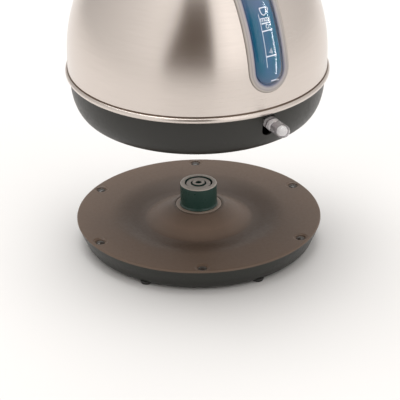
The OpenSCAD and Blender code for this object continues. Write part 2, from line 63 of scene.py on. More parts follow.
# ------------------------------------------------------------------ sizes (metres, from the CAD frame)
sk_lo, sk_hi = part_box("skirt")
KZ = sk_lo.z                       # foot rim of the kettle
BH = 0.020                         # flat top of the base
mm = 0.001
BODY_R, DOME_R, ARC_Z = 96.0, 120.0, 47.0
def dome_radius(z, d=0.0):
    """Radius in mm of the body's outer surface moved out by d, z mm above the foot rim."""
    if z <= ARC_Z:
        return BODY_R + d
    return (BODY_R - DOME_R) + math.sqrt(max(0.0, (DOME_R + d)**2 - (z - ARC_Z)**2))
TOP_Z = ARC_Z + math.sqrt(DOME_R**2 - (42.0 + 24.0)**2)

# ------------------------------------------------------------------ mesh helpers
def new_obj(name, verts, faces, body, mat=None, sharp=35.0, smooth=True):
    me = bpy.data.meshes.new(name)
    me.from_pydata([tuple(v) for v in verts], [], faces)
    me.update()
    bm = bmesh.new(); bm.from_mesh(me)
    bmesh.ops.remove_doubles(bm, verts=bm.verts, dist=1e-7)
    bmesh.ops.recalc_face_normals(bm, faces=bm.faces)
    bm.to_mesh(me); bm.free()
    if smooth:
        me.shade_smooth()
        me.set_sharp_from_angle(angle=math.radians(sharp))
    ob = bpy.data.objects.new(name, me)
    SC.collection.objects.link(ob)
    if mat: me.materials.append(mat)
    if body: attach(ob, body)
    return ob

def lathe_data(profile, segs=192, dz=0.0, cx=0.0, cy=0.0, a0=0.0):
    """Closed profile [(r, z)] in mm turned about a vertical axis. Points on the axis (r = 0) become one vertex."""
    verts, rings = [], []
    for (r, z) in profile:
        if r < 1e-6:
            verts.append((cx*mm, cy*mm, z*mm + dz)); rings.append([len(verts) - 1])
        else:
            idx = []
            for i in range(segs):
                a = a0 + 2*math.pi*i/segs
                verts.append(((cx + r*math.cos(a))*mm, (cy + r*math.sin(a))*mm, z*mm + dz)); idx.append(len(verts) - 1)
            rings.append(idx)
    faces = []
    n = len(rings)
    for k in range(n):
        A, B = rings[k], rings[(k + 1) % n]
        if len(A) == 1 and len(B) == 1: continue
        for i in range(segs):
            j = (i + 1) % segs
            if len(A) == 1: faces.append((A[0], B[i], B[j]))
            elif len(B) == 1: faces.append((A[i], B[0], A[j]))
            else: faces.append((A[i], B[i], B[j], A[j]))
    return verts, faces

def arc(cx, cz, r, a0, a1, n):
    return [(cx + r*math.cos(math.radians(a0 + (a1 - a0)*i/n)), cz + r*math.sin(math.radians(a0 + (a1 - a0)*i/n))) for i in range(n + 1)]

def round_profile(pts, radii, n=5):
    """Rounds each corner of a closed profile; radii is one number or one per corner, in mm."""
    out = []
    m = len(pts)
    if not isinstance(radii, (list, tuple)): radii = [radii]*m
    for i in range(m):
        p0, p1, p2 = Vector(pts[i - 1]), Vector(pts[i]), Vector(pts[(i + 1) % m])
        r = radii[i]
        if r <= 0 or p1.x < 1e-6:
            out.append(tuple(p1)); continue
        d0, d1 = (p0 - p1), (p2 - p1)
        l0, l1 = d0.length, d1.length
        if l0 < 1e-6 or l1 < 1e-6: continue
        d0 /= l0; d1 /= l1
        c = max(-1, min(1, d0.dot(d1)))
        ang = math.acos(c)
        if ang > math.radians(176): out.append(tuple(p1)); continue
        t = min(r/math.tan(ang/2), l0*0.49, l1*0.49)
        rr = t*math.tan(ang/2)
        bis = (d0 + d1).normalized()
        cen = p1 + bis*(rr/math.sin(ang/2))
        a = p1 + d0*t; b = p1 + d1*t
        for k in range(n + 1):
            u = k/n
            v = (a - cen)*(1 - u) + (b - cen)*u
            # slerp
            va, vb = (a - cen).normalized(), (b - cen).normalized()
            om = math.acos(max(-1, min(1, va.dot(vb))))
            if om < 1e-5: w = va
            else: w = (va*math.sin((1 - u)*om) + vb*math.sin(u*om))/math.sin(om)
            q = cen + w*rr
            out.append((q.x, q.y))
    return out

def cut(ob, cutter, keep_sharp=35.0, solver="EXACT"):
    m = ob.modifiers.new("cut", "BOOLEAN"); m.operation = "DIFFERENCE"; m.object = cutter; m.solver = solver
    apply_mods(ob)
    bpy.data.objects.remove(cutter)
    ob.data.shade_smooth(); ob.data.set_sharp_from_angle(angle=math.radians(keep_sharp))

def apply_mods(ob):
    bpy.context.view_layer.update()
    dg = bpy.context.evaluated_depsgraph_get()
    me = bpy.data.meshes.new_from_object(ob.evaluated_get(dg), preserve_all_data_layers=True, depsgraph=dg)
    old = ob.data
    ob.modifiers.clear(); ob.data = me
    bpy.data.meshes.remove(old)

def tmp_obj(name, verts, faces):
    me = bpy.data.meshes.new(name); me.from_pydata([tuple(v) for v in verts], [], faces); me.update()
    bm = bmesh.new(); bm.from_mesh(me); bmesh.ops.recalc_face_normals(bm, faces=bm.faces); bm.to_mesh(me); bm.free()
    ob = bpy.data.objects.new(name, me); SC.collection.objects.link(ob)
    return ob

# ------------------------------------------------------------------ material helpers
def nt(name):
    m = bpy.data.materials.new(name); m.use_nodes = True
    t = m.node_tree; t.nodes.clear()
    out = t.nodes.new("ShaderNodeOutputMaterial"); b = t.nodes.new("ShaderNodeBsdfPrincipled")
    t.links.new(b.outputs[0], out.inputs[0])
    return m, t, b
def N(t, kind, **kw):
    n = t.nodes.new(kind)
    for k, v in kw.items(): setattr(n, k, v)
    return n
def coords(t): return N(t, "ShaderNodeTexCoord").outputs["Object"]
def noise(t, vec, scale, detail=3.0, rough=0.5, dist=0.0):
    n = N(t, "ShaderNodeTexNoise"); n.inputs["Scale"].default_value = scale; n.inputs["Detail"].default_value = detail
    n.inputs["Roughness"].default_value = rough; n.inputs["Distortion"].default_value = dist
    t.links.new(vec, n.inputs["Vector"]); return n.outputs["Fac"]
def ramp(t, fac, stops):
    r = N(t, "ShaderNodeValToRGB"); el = r.color_ramp.elements
    while len(el) > 1: el.remove(el[-1])
    for i, (p, c) in enumerate(stops):
        e = el[0] if i == 0 else el.new(p)
        e.position = p; e.color = (*c, 1) if len(c) == 3 else c
    t.links.new(fac, r.inputs[0]); return r.outputs[0]
def maprange(t, fac, a, b, c, d, smooth=False):
    m = N(t, "ShaderNodeMapRange"); m.interpolation_type = "SMOOTHSTEP" if smooth else "LINEAR"
    for i, v in enumerate((a, b, c, d)): m.inputs[i + 1].default_value = v
    t.links.new(fac, m.inputs[0]); return m.outputs[0]
def math_(t, op, a, b=None, clamp=False):
    m = N(t, "ShaderNodeMath", operation=op); m.use_clamp = clamp
    for i, v in enumerate((a, b)):
        if v is None: continue
        if isinstance(v, (int, float)): m.inputs[i].default_value = v
        else: t.links.new(v, m.inputs[i])
    return m.outputs[0]
def mixc(t, fac, a, b, mode="MIX"):
    m = N(t, "ShaderNodeMix", data_type="RGBA", blend_type=mode)
    if isinstance(fac, (int, float)): m.inputs[0].default_value = fac
    else: t.links.new(fac, m.inputs[0])
    for i, v in ((6, a), (7, b)):
        if isinstance(v, tuple): m.inputs[i].default_value = (*v, 1) if len(v) == 3 else v
        else: t.links.new(v, m.inputs[i])
    return m.outputs[2]
def bump(t, b, height, strength, dist):
    n = N(t, "ShaderNodeBump"); n.inputs["Strength"].default_value = strength; n.inputs["Distance"].default_value = dist
    t.links.new(height, n.inputs["Height"]); t.links.new(n.outputs[0], b.inputs["Normal"]); return n
def cyl(t):
    """(angle, r, z) of the object-space point, angle in radians."""
    s = N(t, "ShaderNodeSeparateXYZ"); t.links.new(coords(t), s.inputs[0])
    x, y, z = s.outputs
    a = math_(t, "ARCTAN2", y, x)
    r = math_(t, "SQRT", math_(t, "ADD", math_(t, "MULTIPLY", x, x), math_(t, "MULTIPLY", y, y)))
    return a, r, z
def vec3(t, a, b, c):
    n = N(t, "ShaderNodeCombineXYZ")
    for i, v in enumerate((a, b, c)):
        if isinstance(v, (int, float)): n.inputs[i].default_value = v
        else: t.links.new(v, n.inputs[i])
    return n.outputs[0]
def edge_wear(t, samples_radius=0.0012):
    g = N(t, "ShaderNodeNewGeometry")
    return maprange(t, g.outputs["Pointiness"], 0.5, 0.56, 0.0, 1.0, True)

def brushed(name, base, dark, rough=(0.26, 0.40), aniso=0.75, rot=0.25, around=True, line=1.0, amount=1.0):
    m, t, b = nt(name)
    a, r, z = cyl(t)
    fine = vec3(t, math_(t, "MULTIPLY", a, 5.0), math_(t, "MULTIPLY", r, 3400*line), math_(t, "MULTIPLY", z, 3400*line))
    mid = vec3(t, math_(t, "MULTIPLY", a, 3.0), math_(t, "MULTIPLY", r, 1300*line), math_(t, "MULTIPLY", z, 1300*line))
    f1 = noise(t, fine, 1.0, 2.0, 0.6); f2 = noise(t, mid, 1.0, 2.0, 0.5)
    big = noise(t, coords(t), 7.0, 2.0, 0.5)
    lines = math_(t, "ADD", math_(t, "MULTIPLY", f1, 0.6), math_(t, "MULTIPLY", f2, 0.4))
    c = mixc(t, maprange(t, lines, 0.38, 0.62, 0.0, 0.85*amount), base, dark)
    c = mixc(t, maprange(t, big, 0.35, 0.7, 0.0, 0.30), c, tuple(v*0.96 for v in base))
    t.links.new(c, b.inputs["Base Color"])
    b.inputs["Metallic"].default_value = 1.0
    rr = math_(t, "ADD", maprange(t, lines, 0.35, 0.65, rough[0], rough[1]), maprange(t, big, 0.3, 0.7, -0.01, 0.015))
    t.links.new(rr, b.inputs["Roughness"])
    b.inputs["Anisotropic"].default_value = aniso
    b.inputs["Anisotropic Rotation"].default_value = rot
    tg = N(t, "ShaderNodeTangent", direction_type="RADIAL", axis="Z"); t.links.new(tg.outputs[0], b.inputs["Tangent"])
    bump(t, b, lines, 0.020*amount, 0.00003)
    return m

def plastic(name, base, rough=0.45, tex=1.0, var=0.12, coat=0.0, spec=0.5, scale=1800.0, wear=(0.0, (0.3, 0.3, 0.3)), dust=None, ior=1.5):
    m, t, b = nt(name)
    v = coords(t)
    n1 = noise(t, v, scale, 2.0, 0.5)          # moulded spark texture
    n2 = noise(t, v, scale*0.22, 3.0, 0.5)
    n3 = noise(t, v, 28.0, 3.0, 0.6)           # broad unevenness
    c = mixc(t, maprange(t, n3, 0.3, 0.7, 0.0, 1.0), tuple(x*(1 - var) for x in base), tuple(min(1, x*(1 + var)) for x in base))
    c = mixc(t, maprange(t, n1, 0.3, 0.7, 0.0, 0.25), c, tuple(min(1, x*1.35 + 0.004) for x in base))
    if dust: c = mixc(t, maprange(t, n2, 0.5, 0.8, 0.0, dust[0]), c, dust[1])
    if wear[0] > 0:
        c = mixc(t, math_(t, "MULTIPLY", edge_wear(t), wear[0]), c, wear[1])
    t.links.new(c, b.inputs["Base Color"])
    rr = math_(t, "ADD", maprange(t, n2, 0.3, 0.7, rough - 0.06, rough + 0.06), maprange(t, n3, 0.3, 0.7, -0.03, 0.04))
    t.links.new(rr, b.inputs["Roughness"])
    b.inputs["IOR"].default_value = ior
    b.inputs["Specular IOR Level"].default_value = spec
    b.inputs["Coat Weight"].default_value = coat
    b.inputs["Coat Roughness"].default_value = 0.12
    h = math_(t, "ADD", math_(t, "MULTIPLY", n1, 0.5), math_(t, "MULTIPLY", n2, 0.5))
    bump(t, b, h, 0.22*tex, 0.00006)
    return m

def clear(name, tint, rough=0.05, transmission=1.0, ior=1.49, frost=0.0, coat=0.0, spec=0.5):
    m, t, b = nt(name)
    v = coords(t)
    n1 = noise(t, v, 700.0, 3.0, 0.55); n2 = noise(t, v, 60.0, 2.0, 0.5)
    c = mixc(t, maprange(t, n2, 0.3, 0.7, 0.0, 1.0), tuple(x*0.94 for x in tint), tint)
    t.links.new(c, b.inputs["Base Color"])
    t.links.new(math_(t, "ADD", maprange(t, n1, 0.3, 0.7, rough, rough + 0.05 + frost), maprange(t, n2, 0.3, 0.7, 0.0, 0.02)), b.inputs["Roughness"])
    b.inputs["Transmission Weight"].default_value = transmission
    b.inputs["IOR"].default_value = ior
    b.inputs["Coat Weight"].default_value = coat
    b.inputs["Specular IOR Level"].default_value = spec
    bump(t, b, n2, 0.06, 0.0004)
    return m

def metal(name, base, rough=0.3, scratch=1.0, metallic=1.0):
    m, t, b = nt(name)
    v = coords(t)
    n1 = noise(t, v, 900.0, 3.0, 0.6); n2 = noise(t, v, 45.0, 3.0, 0.5)
    c = mixc(t, maprange(t, n2, 0.3, 0.7, 0.0, 1.0), tuple(x*0.85 for x in base), base)
    t.links.new(c, b.inputs["Base Color"]); b.inputs["Metallic"].default_value = metallic
    t.links.new(math_(t, "ADD", maprange(t, n1, 0.3, 0.7, rough - 0.05, rough + 0.07), maprange(t, n2, 0.3, 0.7, -0.03, 0.05)), b.inputs["Roughness"])
    bump(t, b, n1, 0.08*scratch, 0.00005)
    return m

M = {}
M["steel"] = brushed("mat_brushed_steel", (0.715, 0.648, 0.602), (0.635, 0.567, 0.520), rough=(0.235, 0.27), amount=0.40)
# painted shade: a dark copy of the brushed steel for the groove above the lip
M["seam"] = brushed("mat_lip_seam", (0.235, 0.175, 0.135), (0.17, 0.125, 0.095), rough=(0.4, 0.5), amount=0.5)
M["steel_in"] = brushed("mat_floor_steel", (0.62, 0.61, 0.59), (0.45, 0.44, 0.42), rough=(0.3, 0.42), aniso=0.4)
M["satin"] = brushed("mat_satin_steel", (0.72, 0.69, 0.66), (0.58, 0.55, 0.52), rough=(0.22, 0.32), aniso=0.5)
M["alu"] = metal("mat_spreader", (0.75, 0.75, 0.76), 0.42)
M["brass"] = metal("mat_contact", (0.78, 0.56, 0.26), 0.26)
M["screw"] = metal("mat_screw", (0.62, 0.62, 0.64), 0.28)
M["bimetal"] = metal("mat_bimetal", (0.62, 0.56, 0.48), 0.3)
M["element"] = metal("mat_element", (0.42, 0.41, 0.40), 0.45)
# painted light: the cover's top gets a much lighter brown than the tray's near-black side, standing in for light from
# above on the same black plastic
M["base_top"] = plastic("mat_base_top", (0.225, 0.150, 0.106), rough=0.42, tex=1.0, var=0.07, spec=0.36, wear=(0.25, (0.20, 0.16, 0.13)))
def paint_radial_light_and_shade(mat, stops, r_max=0.095):
    """Multiply a plastic's colour by a tone that depends on the distance from the axis: painted light and shade."""
    t = mat.node_tree; b = next(q for q in t.nodes if q.type == "BSDF_PRINCIPLED")
    src = b.inputs["Base Color"].links[0].from_socket
    a, r, z = cyl(t)
    tone = ramp(t, math_(t, "DIVIDE", r, r_max), [(p/(r_max*1000), (v, v*(1.05 if p < 45 else 1.0), v*(1.12 if p < 45 else 1.0))) for p, v in stops])
    c = mixc(t, 1.0, src, tone, "MULTIPLY")
    t.links.new(c, b.inputs["Base Color"])
# painted shade and light: the valley round the hub is darkened as if shaded, and the cone towards the connector is
# lightened as if lit
paint_radial_light_and_shade(M["base_top"], [(18, 0.70), (24, 0.86), (31, 0.96), (37, 0.82), (42, 0.54), (48, 0.42), (56, 0.45), (68, 0.57), (93, 0.57)])
# painted light: paler copy of the cover plastic for the ring round the connector
M["base_hub"] = plastic("mat_base_hub", (0.430, 0.335, 0.275), rough=0.40, tex=0.7, var=0.07, spec=0.45)
M["base_side"] = plastic("mat_base_side", (0.024, 0.025, 0.0215), rough=0.38, tex=1.0, var=0.12, spec=0.38)
M["nub"] = plastic("mat_nub", (0.040, 0.032, 0.026), rough=0.28, tex=0.4, var=0.1)
M["pillar"] = plastic("mat_pillar", (0.014, 0.050, 0.039), rough=0.32, tex=0.15, var=0.05, spec=0.5, scale=2600.0)
# painted light: pale copy of the pillar plastic for its lit top face
M["pillar_top"] = plastic("mat_pillar_top", (0.54, 0.485, 0.435), rough=0.40, tex=0.8, var=0.10, spec=0.5)
M["skirt"] = plastic("mat_skirt", (0.019, 0.0185, 0.0155), rough=0.38, tex=0.9, var=0.10, spec=0.42)
M["inner"] = plastic("mat_inner_black", (0.030, 0.030, 0.031), rough=0.55, tex=1.2, var=0.15)
M["grip"] = plastic("mat_grip", (0.020, 0.020, 0.020), rough=0.48, tex=1.4, var=0.15, spec=0.45)
M["rubber"] = plastic("mat_rubber", (0.024, 0.023, 0.022), rough=0.72, tex=1.5, var=0.2, dust=(0.25, (0.10, 0.095, 0.09)))
M["gland"] = plastic("mat_gland", (0.020, 0.020, 0.020), rough=0.6, tex=1.2, var=0.15)
M["shutter"] = plastic("mat_shutter", (0.30, 0.29, 0.27), rough=0.5, tex=0.8, var=0.1)
M["cream"] = plastic("mat_control", (0.62, 0.59, 0.50), rough=0.5, tex=1.0, var=0.08)
M["red"] = plastic("mat_rocker", (0.45, 0.07, 0.04), rough=0.35, tex=0.5, var=0.1)
M["silicone"] = plastic("mat_silicone", (0.52, 0.51, 0.48), rough=0.5, tex=0.6, var=0.08)
M["gasket_red"] = plastic("mat_floor_gasket", (0.28, 0.09, 0.05), rough=0.6, tex=0.8, var=0.1)
M["steam"] = plastic("mat_steam_tube", (0.66, 0.65, 0.60), rough=0.4, tex=0.5, var=0.06)
M["print"] = plastic("mat_print", (0.86, 0.88, 0.90), rough=0.45, tex=0.2, var=0.03)
M["lamp"] = clear("mat_lamp", (0.95, 0.62, 0.38), rough=0.05, transmission=0.7)

def window_rho(t):
    """Distance of the point from the window's middle line in metres, with its y and z."""
    sx = N(t, "ShaderNodeSeparateXYZ"); t.links.new(coords(t), sx.inputs[0])
    y, z = sx.outputs[1], sx.outputs[2]
    lo = math_(t, "SUBTRACT", KZ + 0.064, z); hi = math_(t, "SUBTRACT", z, KZ + 0.1125)
    dz = math_(t, "MAXIMUM", math_(t, "MAXIMUM", lo, hi), 0.0)
    return math_(t, "SQRT", math_(t, "ADD", math_(t, "MULTIPLY", y, y), math_(t, "MULTIPLY", dz, dz))), y, z
def gauge_mat():
    """Blue strip behind the lens: deep teal towards its sides, greyer along its middle and at both ends."""
    m, t, b = nt("mat_gauge_strip")
    rho, y, z = window_rho(t)
    c = ramp(t, math_(t, "DIVIDE", rho, 0.0125), [(0.0, (0.036, 0.118, 0.225)), (0.26, (0.024, 0.120, 0.222)), (0.48, (0.005, 0.128, 0.200)), (0.74, (0.010, 0.108, 0.205)), (0.86, (0.035, 0.120, 0.250)), (0.93, (0.17, 0.19, 0.34)), (1.0, (0.28, 0.28, 0.40))])
    n1 = noise(t, vec3(t, math_(t, "MULTIPLY", y, 240.0), 0.0, math_(t, "MULTIPLY", z, 14.0)), 1.0, 3.0, 0.5)
    c = mixc(t, maprange(t, n1, 0.42, 0.72, 0.0, 0.30), c, (0.008, 0.150, 0.215))
    foot = maprange(t, z, KZ + 0.050, KZ + 0.068, 1.0, 0.0, True)
    c = mixc(t, math_(t, "MULTIPLY", foot, 0.50), c, (0.165, 0.185, 0.300))
    head = maprange(t, z, KZ + 0.096, KZ + 0.116, 0.0, 1.0, True)
    c = mixc(t, math_(t, "MULTIPLY", head, 0.45), c, (0.22, 0.22, 0.36))
    t.links.new(c, b.inputs["Base Color"])
    t.links.new(maprange(t, n1, 0.3, 0.7, 0.45, 0.60), b.inputs["Roughness"])
    b.inputs["Specular IOR Level"].default_value = 0.1
    bump(t, b, n1, 0.05, 0.0002)
    return m
M["gauge"] = gauge_mat()
def frame_mat_painted_light():
    """Clear moulded frame that goes lilac towards the lens; its warm bright bands are painted light standing in for the
    steel's warm light caught at its rim, and its darkest outer band is painted shade in the gap to the steel.
    """
    m, t, b = nt("mat_window_frame_painted_light")
    rho, y, z = window_rho(t)
    c = ramp(t, math_(t, "MULTIPLY", math_(t, "SUBTRACT", rho, 0.0112), 1/0.0056), [(0.0, (0.22, 0.26, 0.42)), (0.14, (0.36, 0.36, 0.47)), (0.30, (0.52, 0.49, 0.53)), (0.46, (0.62, 0.575, 0.55)), (0.62, (0.47, 0.43, 0.43)), (0.80, (0.66, 0.60, 0.545)), (0.93, (0.60, 0.53, 0.47)), (1.0, (0.16, 0.125, 0.10))])
    n1 = noise(t, vec3(t, math_(t, "MULTIPLY", y, 420.0), 0.0, math_(t, "MULTIPLY", z, 22.0)), 1.0, 3.0, 0.5)
    c = mixc(t, maprange(t, n1, 0.40, 0.70, 0.0, 0.25), c, (0.38, 0.36, 0.42))
    t.links.new(c, b.inputs["Base Color"])
    t.links.new(maprange(t, n1, 0.3, 0.7, 0.10, 0.20), b.inputs["Roughness"])
    b.inputs["Transmission Weight"].default_value = 0.22
    b.inputs["IOR"].default_value = 1.47
    b.inputs["Specular IOR Level"].default_value = 0.35
    b.inputs["Coat Weight"].default_value = 0.5; b.inputs["Coat Roughness"].default_value = 0.06
    bump(t, b, n1, 0.05, 0.0002)
    return m
M["window"] = frame_mat_painted_light()
def lens_mat():
    m, t, b = nt("mat_gauge_lens")
    n1 = noise(t, coords(t), 55.0, 2.0, 0.5)
    t.links.new(mixc(t, maprange(t, n1, 0.3, 0.7, 0.0, 1.0), (0.93, 0.96, 1.0), (0.97, 0.985, 1.0)), b.inputs["Base Color"])
    t.links.new(maprange(t, n1, 0.3, 0.7, 0.045, 0.065), b.inputs["Roughness"])
    b.inputs["Transmission Weight"].default_value = 1.0
    b.inputs["IOR"].default_value = 1.22
    b.inputs["Specular IOR Level"].default_value = 0.12
    b.inputs["Coat Weight"].default_value = 0.22; b.inputs["Coat Roughness"].default_value = 0.07
    bump(t, b, n1, 0.004, 0.0001)
    return m
M["lens"] = lens_mat()
def lever_mat():
    """Clear moulding with a slight lilac cast and flow lines."""
    m, t, b = nt("mat_lever_clear")
    n1 = noise(t, coords(t), 130.0, 3.0, 0.5)
    n2 = noise(t, coords(t), 420.0, 2.0, 0.5)
    c = mixc(t, maprange(t, n1, 0.35, 0.70, 0.0, 1.0), (0.97, 0.955, 0.965), (0.88, 0.855, 0.875))
    t.links.new(c, b.inputs["Base Color"])
    t.links.new(maprange(t, n2, 0.3, 0.7, 0.05, 0.12), b.inputs["Roughness"])
    b.inputs["Transmission Weight"].default_value = 0.86
    b.inputs["IOR"].default_value = 1.36
    b.inputs["Specular IOR Level"].default_value = 0.7
    b.inputs["Coat Weight"].default_value = 0.6; b.inputs["Coat Roughness"].default_value = 0.04
    bump(t, b, n1, 0.22, 0.0008)
    return m
M["lever"] = lever_mat()

def give(mat, *names):
    for n in names:
        o = NODES[n]; o.data.materials.clear(); o.data.materials.append(M[mat])
give("steel", "spout"); give("steel_in", "floor_plate", "filter_mesh")
give("element", "heating_element"); give("alu", "heat_spreader")
give("brass", "live_contact", "neutral_contact", "earth_contact", "socket_pin", "socket_rings", "element_terminals")
give("screw", "base_screws", "underplate_screws", "handle_screws", "knob_screw", "lever_pin", "rocker_pin")
give("satin", "lid_collar", "handle_bracket_rear", "handle_bracket_front")
give("rubber", "base_feet"); give("gasket_red", "floor_gasket"); give("gland", "cord_gland"); give("shutter", "shutter_ring")
give("inner", "underplate", "lever_bracket", "filter_frame", "lid_liner"); give("cream", "control_unit")
give("bimetal", "bimetal_disc"); give("steam", "steam_tube"); give("lamp", "indicator_lamp"); give("red", "trip_rocker")
give("silicone", "window_gasket", "lid_seal"); give("grip", "handle_upper_shell", "handle_lower_shell")

# ------------------------------------------------------------------ power base
BASE_R, PLUG_R, FOOT_R = 93.0, 86.5, 82.4
def base_cover():
    b = 20.0
    n = 30
    prof = [(BASE_R, 18.42), (BASE_R + 0.02, 18.9)] + arc(BASE_R - 1.25, b - 1.25, 1.25, 8, 88, 8) + [(90.5, b), (78.0, b), (68.0, b)]
    prof += [(66 - 23.0*i/n, b - 1.75*(1 - math.cos(math.pi*i/n))) for i in range(n + 1)]
    prof += [(42.0, b - 3.56), (41.2, b - 3.58), (40.6, b - 3.5), (40.0, b - 3.3), (39.3, b - 2.98)]
    prof += [(38.6 - 17.6*i/14, b - 2.62 + 9.42*i/14 + 0.22*math.sin(math.pi*i/14)) for i in range(15)]
    prof += [(20.6, b + 7.08), (20.1, b + 7.42), (19.5, b + 7.72), (18.8, b + 7.93), (18.25, b + 8.0), (18.02, b + 7.9), (17.92, b + 7.6), (17.9, b + 7.0), (17.5, b + 7.0), (17.48, b + 7.65), (17.38, b + 7.92), (17.1, b + 8.02), (16.0, b + 8.02), (14.3, b + 8.0),
        (14.3, b + 5.4), (17.6, b + 5.4), (19.7, b + 4.8), (38.4, b - 5.3), (40.4, b - 6.0)]
    prof += [(65.6 - 23.0*i/12, b - 2.3 - 1.75*(1 - math.cos(math.pi*i/12))) for i in range(12, -1, -1)]
    prof += [(88.5, b - 2.3), (89.8, 17.2), (89.8, 16.6), (91.1, 16.6), (91.1, 18.42)]
    v, f = lathe_data(prof, 240)
    o = new_obj("base_cover_shell", v, f, "power_base", M["base_top"], sharp=40)
    # painted light: the raised ring round the connector gets a paler copy of the cover plastic, as if lit from above
    o.data.materials.append(M["base_hub"])
    for q in o.data.polygons:
        c = q.center; r = math.hypot(c.x, c.y)*1000
        if r < 18.35 and c.z*1000 > 26.9 and not 17.42 < r < 18.0: q.material_index = 1
    # six dished seats, each a wide shallow dish with a deeper round pocket in it
    pv, pf = [], []
    for i in range(6):
        a = math.radians(PIP0 + 60*i)
        dish = [(0, b - 1.35), (3.5, b - 1.35), (3.72, b - 1.25), (3.82, b - 1.0), (3.95, b - 0.62), (4.3, b - 0.45), (5.0, b - 0.34), (5.5, b - 0.2), (5.75, b - 0.03), (5.95, b + 0.1), (5.95, b + 0.6), (0, b + 0.6)]
        cv, cf = lathe_data(dish, 56, 0, PLUG_R*math.cos(a), PLUG_R*math.sin(a))
        off = len(pv); pv += cv; pf += [tuple(x + off for x in q) for q in cf]
    cut(o, tmp_obj("c", pv, pf), 32)
    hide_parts("base_cover")
    return o
# the angle of the first plug, read from the CAD solids
PIP0 = 29.0
_ang = sorted(math.degrees(math.atan2(q.co.y, q.co.x)) % 60 for q in NODES["rim_plugs"].data.vertices)
if _ang: PIP0 = (_ang[0] + _ang[-1])/2
base_cover()

def base_tray():
    out = [(80, 0.9), (82.0, 0.95), (83.4, 1.25), (84.5, 1.8), (85.6, 2.7), (86.9, 4.1), (87.9, 6), (88.8, 8.2), (89.8, 10.5), (90.8, 12.8), (91.6, 15), (92.2, 17), (92.42, 18.0), (92.3, 18.35)]
    inn = [(91.2, 18.4), (91.2, 16.6), (89.9, 16.2), (89, 14.2), (88, 11.9), (87, 9.6), (86, 7.4), (85.1, 5.6), (84.1, 4.2), (82.6, 3.2), (80, 2.9)]
    # finer outside by a smooth curve through the points
    fine_ = []
    for k in range(len(out) - 1):
        p0, p1, p2, p3 = out[max(0, k - 1)], out[k], out[k + 1], out[min(len(out) - 1, k + 2)]
        for u in (0.0, 0.33, 0.67):
            fine_.append(tuple(0.5*((2*p1[c]) + (-p0[c] + p2[c])*u + (2*p0[c] - 5*p1[c] + 4*p2[c] - p3[c])*u*u + (-p0[c] + 3*p1[c] - 3*p2[c] + p3[c])*u**3) for c in (0, 1)))
    fine_.append(out[-1])
    prof = [(0, 0.9), (60, 0.9)] + fine_ + inn + [(0, 2.9)]
    v, f = lathe_data(prof, 240)
    o = new_obj("base_tray_shell", v, f, "power_base", M["base_side"], sharp=50)
    cv, cf = [], []
    for i in range(6):
        a = math.radians(PIP0 + 30 + 60*i)
        w, g = lathe_data([(0, 0.2), (4.55, 0.2), (4.55, 2.65), (0, 2.65)], 40, 0, FOOT_R*math.cos(a), FOOT_R*math.sin(a))
        off = len(cv); cv += w; cf += [tuple(x + off for x in q) for q in g]
    for i in range(3):
        a = math.radians(PIP0 + 30 + 120*i)
        w, g = lathe_data([(0, 0.2), (3.4, 0.2), (3.4, 6.0), (0, 6.0)], 40, 0, 62*math.cos(a), 62*math.sin(a))
        off = len(cv); cv += w; cf += [tuple(x + off for x in q) for q in g]
    w, g = lathe_data([(0, 0.2), (6.55, 0.2), (6.55, 2.25), (0, 2.25)], 64)
    off = len(cv); cv += w; cf += [tuple(x + off for x in q) for q in g]
    cut(o, tmp_obj("c", cv, cf), 45)
    # cord hole
    a = math.radians(PIP0 + 120)
    w, g = lathe_data([(0, 0), (4.25, 0), (4.25, 45), (0, 45)], 48)
    c = tmp_obj("c", w, g)
    c.data.transform(Matrix.Translation((math.cos(a)*0.060, math.sin(a)*0.060, 0.009)) @ Matrix.Rotation(a, 4, "Z") @ Matrix.Rotation(math.radians(90), 4, "Y"))
    cut(o, c, 45)
    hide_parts("base_tray")
base_tray()

def feet():
    vs, fs = [], []
    for i in range(6):
        a = math.radians(PIP0 + 30 + 60*i)
        prof = [(0, 0.0), (3.6, 0.0), (3.95, 0.12), (4.1, 0.4), (4.2, 0.75), (4.45, 1.0), (4.5, 1.3), (4.5, 2.2), (4.3, 2.5), (3.9, 2.6), (0, 2.6)]
        w, g = lathe_data(prof, 48, 0, FOOT_R*math.cos(a), FOOT_R*math.sin(a))
        off = len(vs); vs += w; fs += [tuple(x + off for x in q) for q in g]
    w, g = lathe_data([(0, 0.0), (5.5, 0.0), (5.85, 0.12), (6.0, 0.4), (6.1, 0.7), (6.45, 0.95), (6.5, 1.2), (6.5, 1.9), (6.3, 2.15), (5.9, 2.2), (0, 2.2)], 64)
    off = len(vs); vs += w; fs += [tuple(x + off for x in q) for q in g]
    o = new_obj("rubber_feet", vs, fs, "power_base", M["rubber"], sharp=50)
    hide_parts("base_feet")
feet()

def plugs():
    vs, fs = [], []
    for i in range(6):
        a = math.radians(PIP0 + 60*i)
        prof = [(0, 19.75), (0.9, 19.69), (1.7, 19.53), (2.4, 19.27), (2.9, 19.02), (3.12, 18.86), (3.2, 18.7), (3.2, 18.6), (0, 18.6)]
        w, g = lathe_data(prof, 40, 0, PLUG_R*math.cos(a), PLUG_R*math.sin(a))
        off = len(vs); vs += w; fs += [tuple(x + off for x in q) for q in g]
    o = new_obj("rim_plug_domes", vs, fs, "power_base", M["nub"], sharp=60)
    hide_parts("rim_plugs")
plugs()

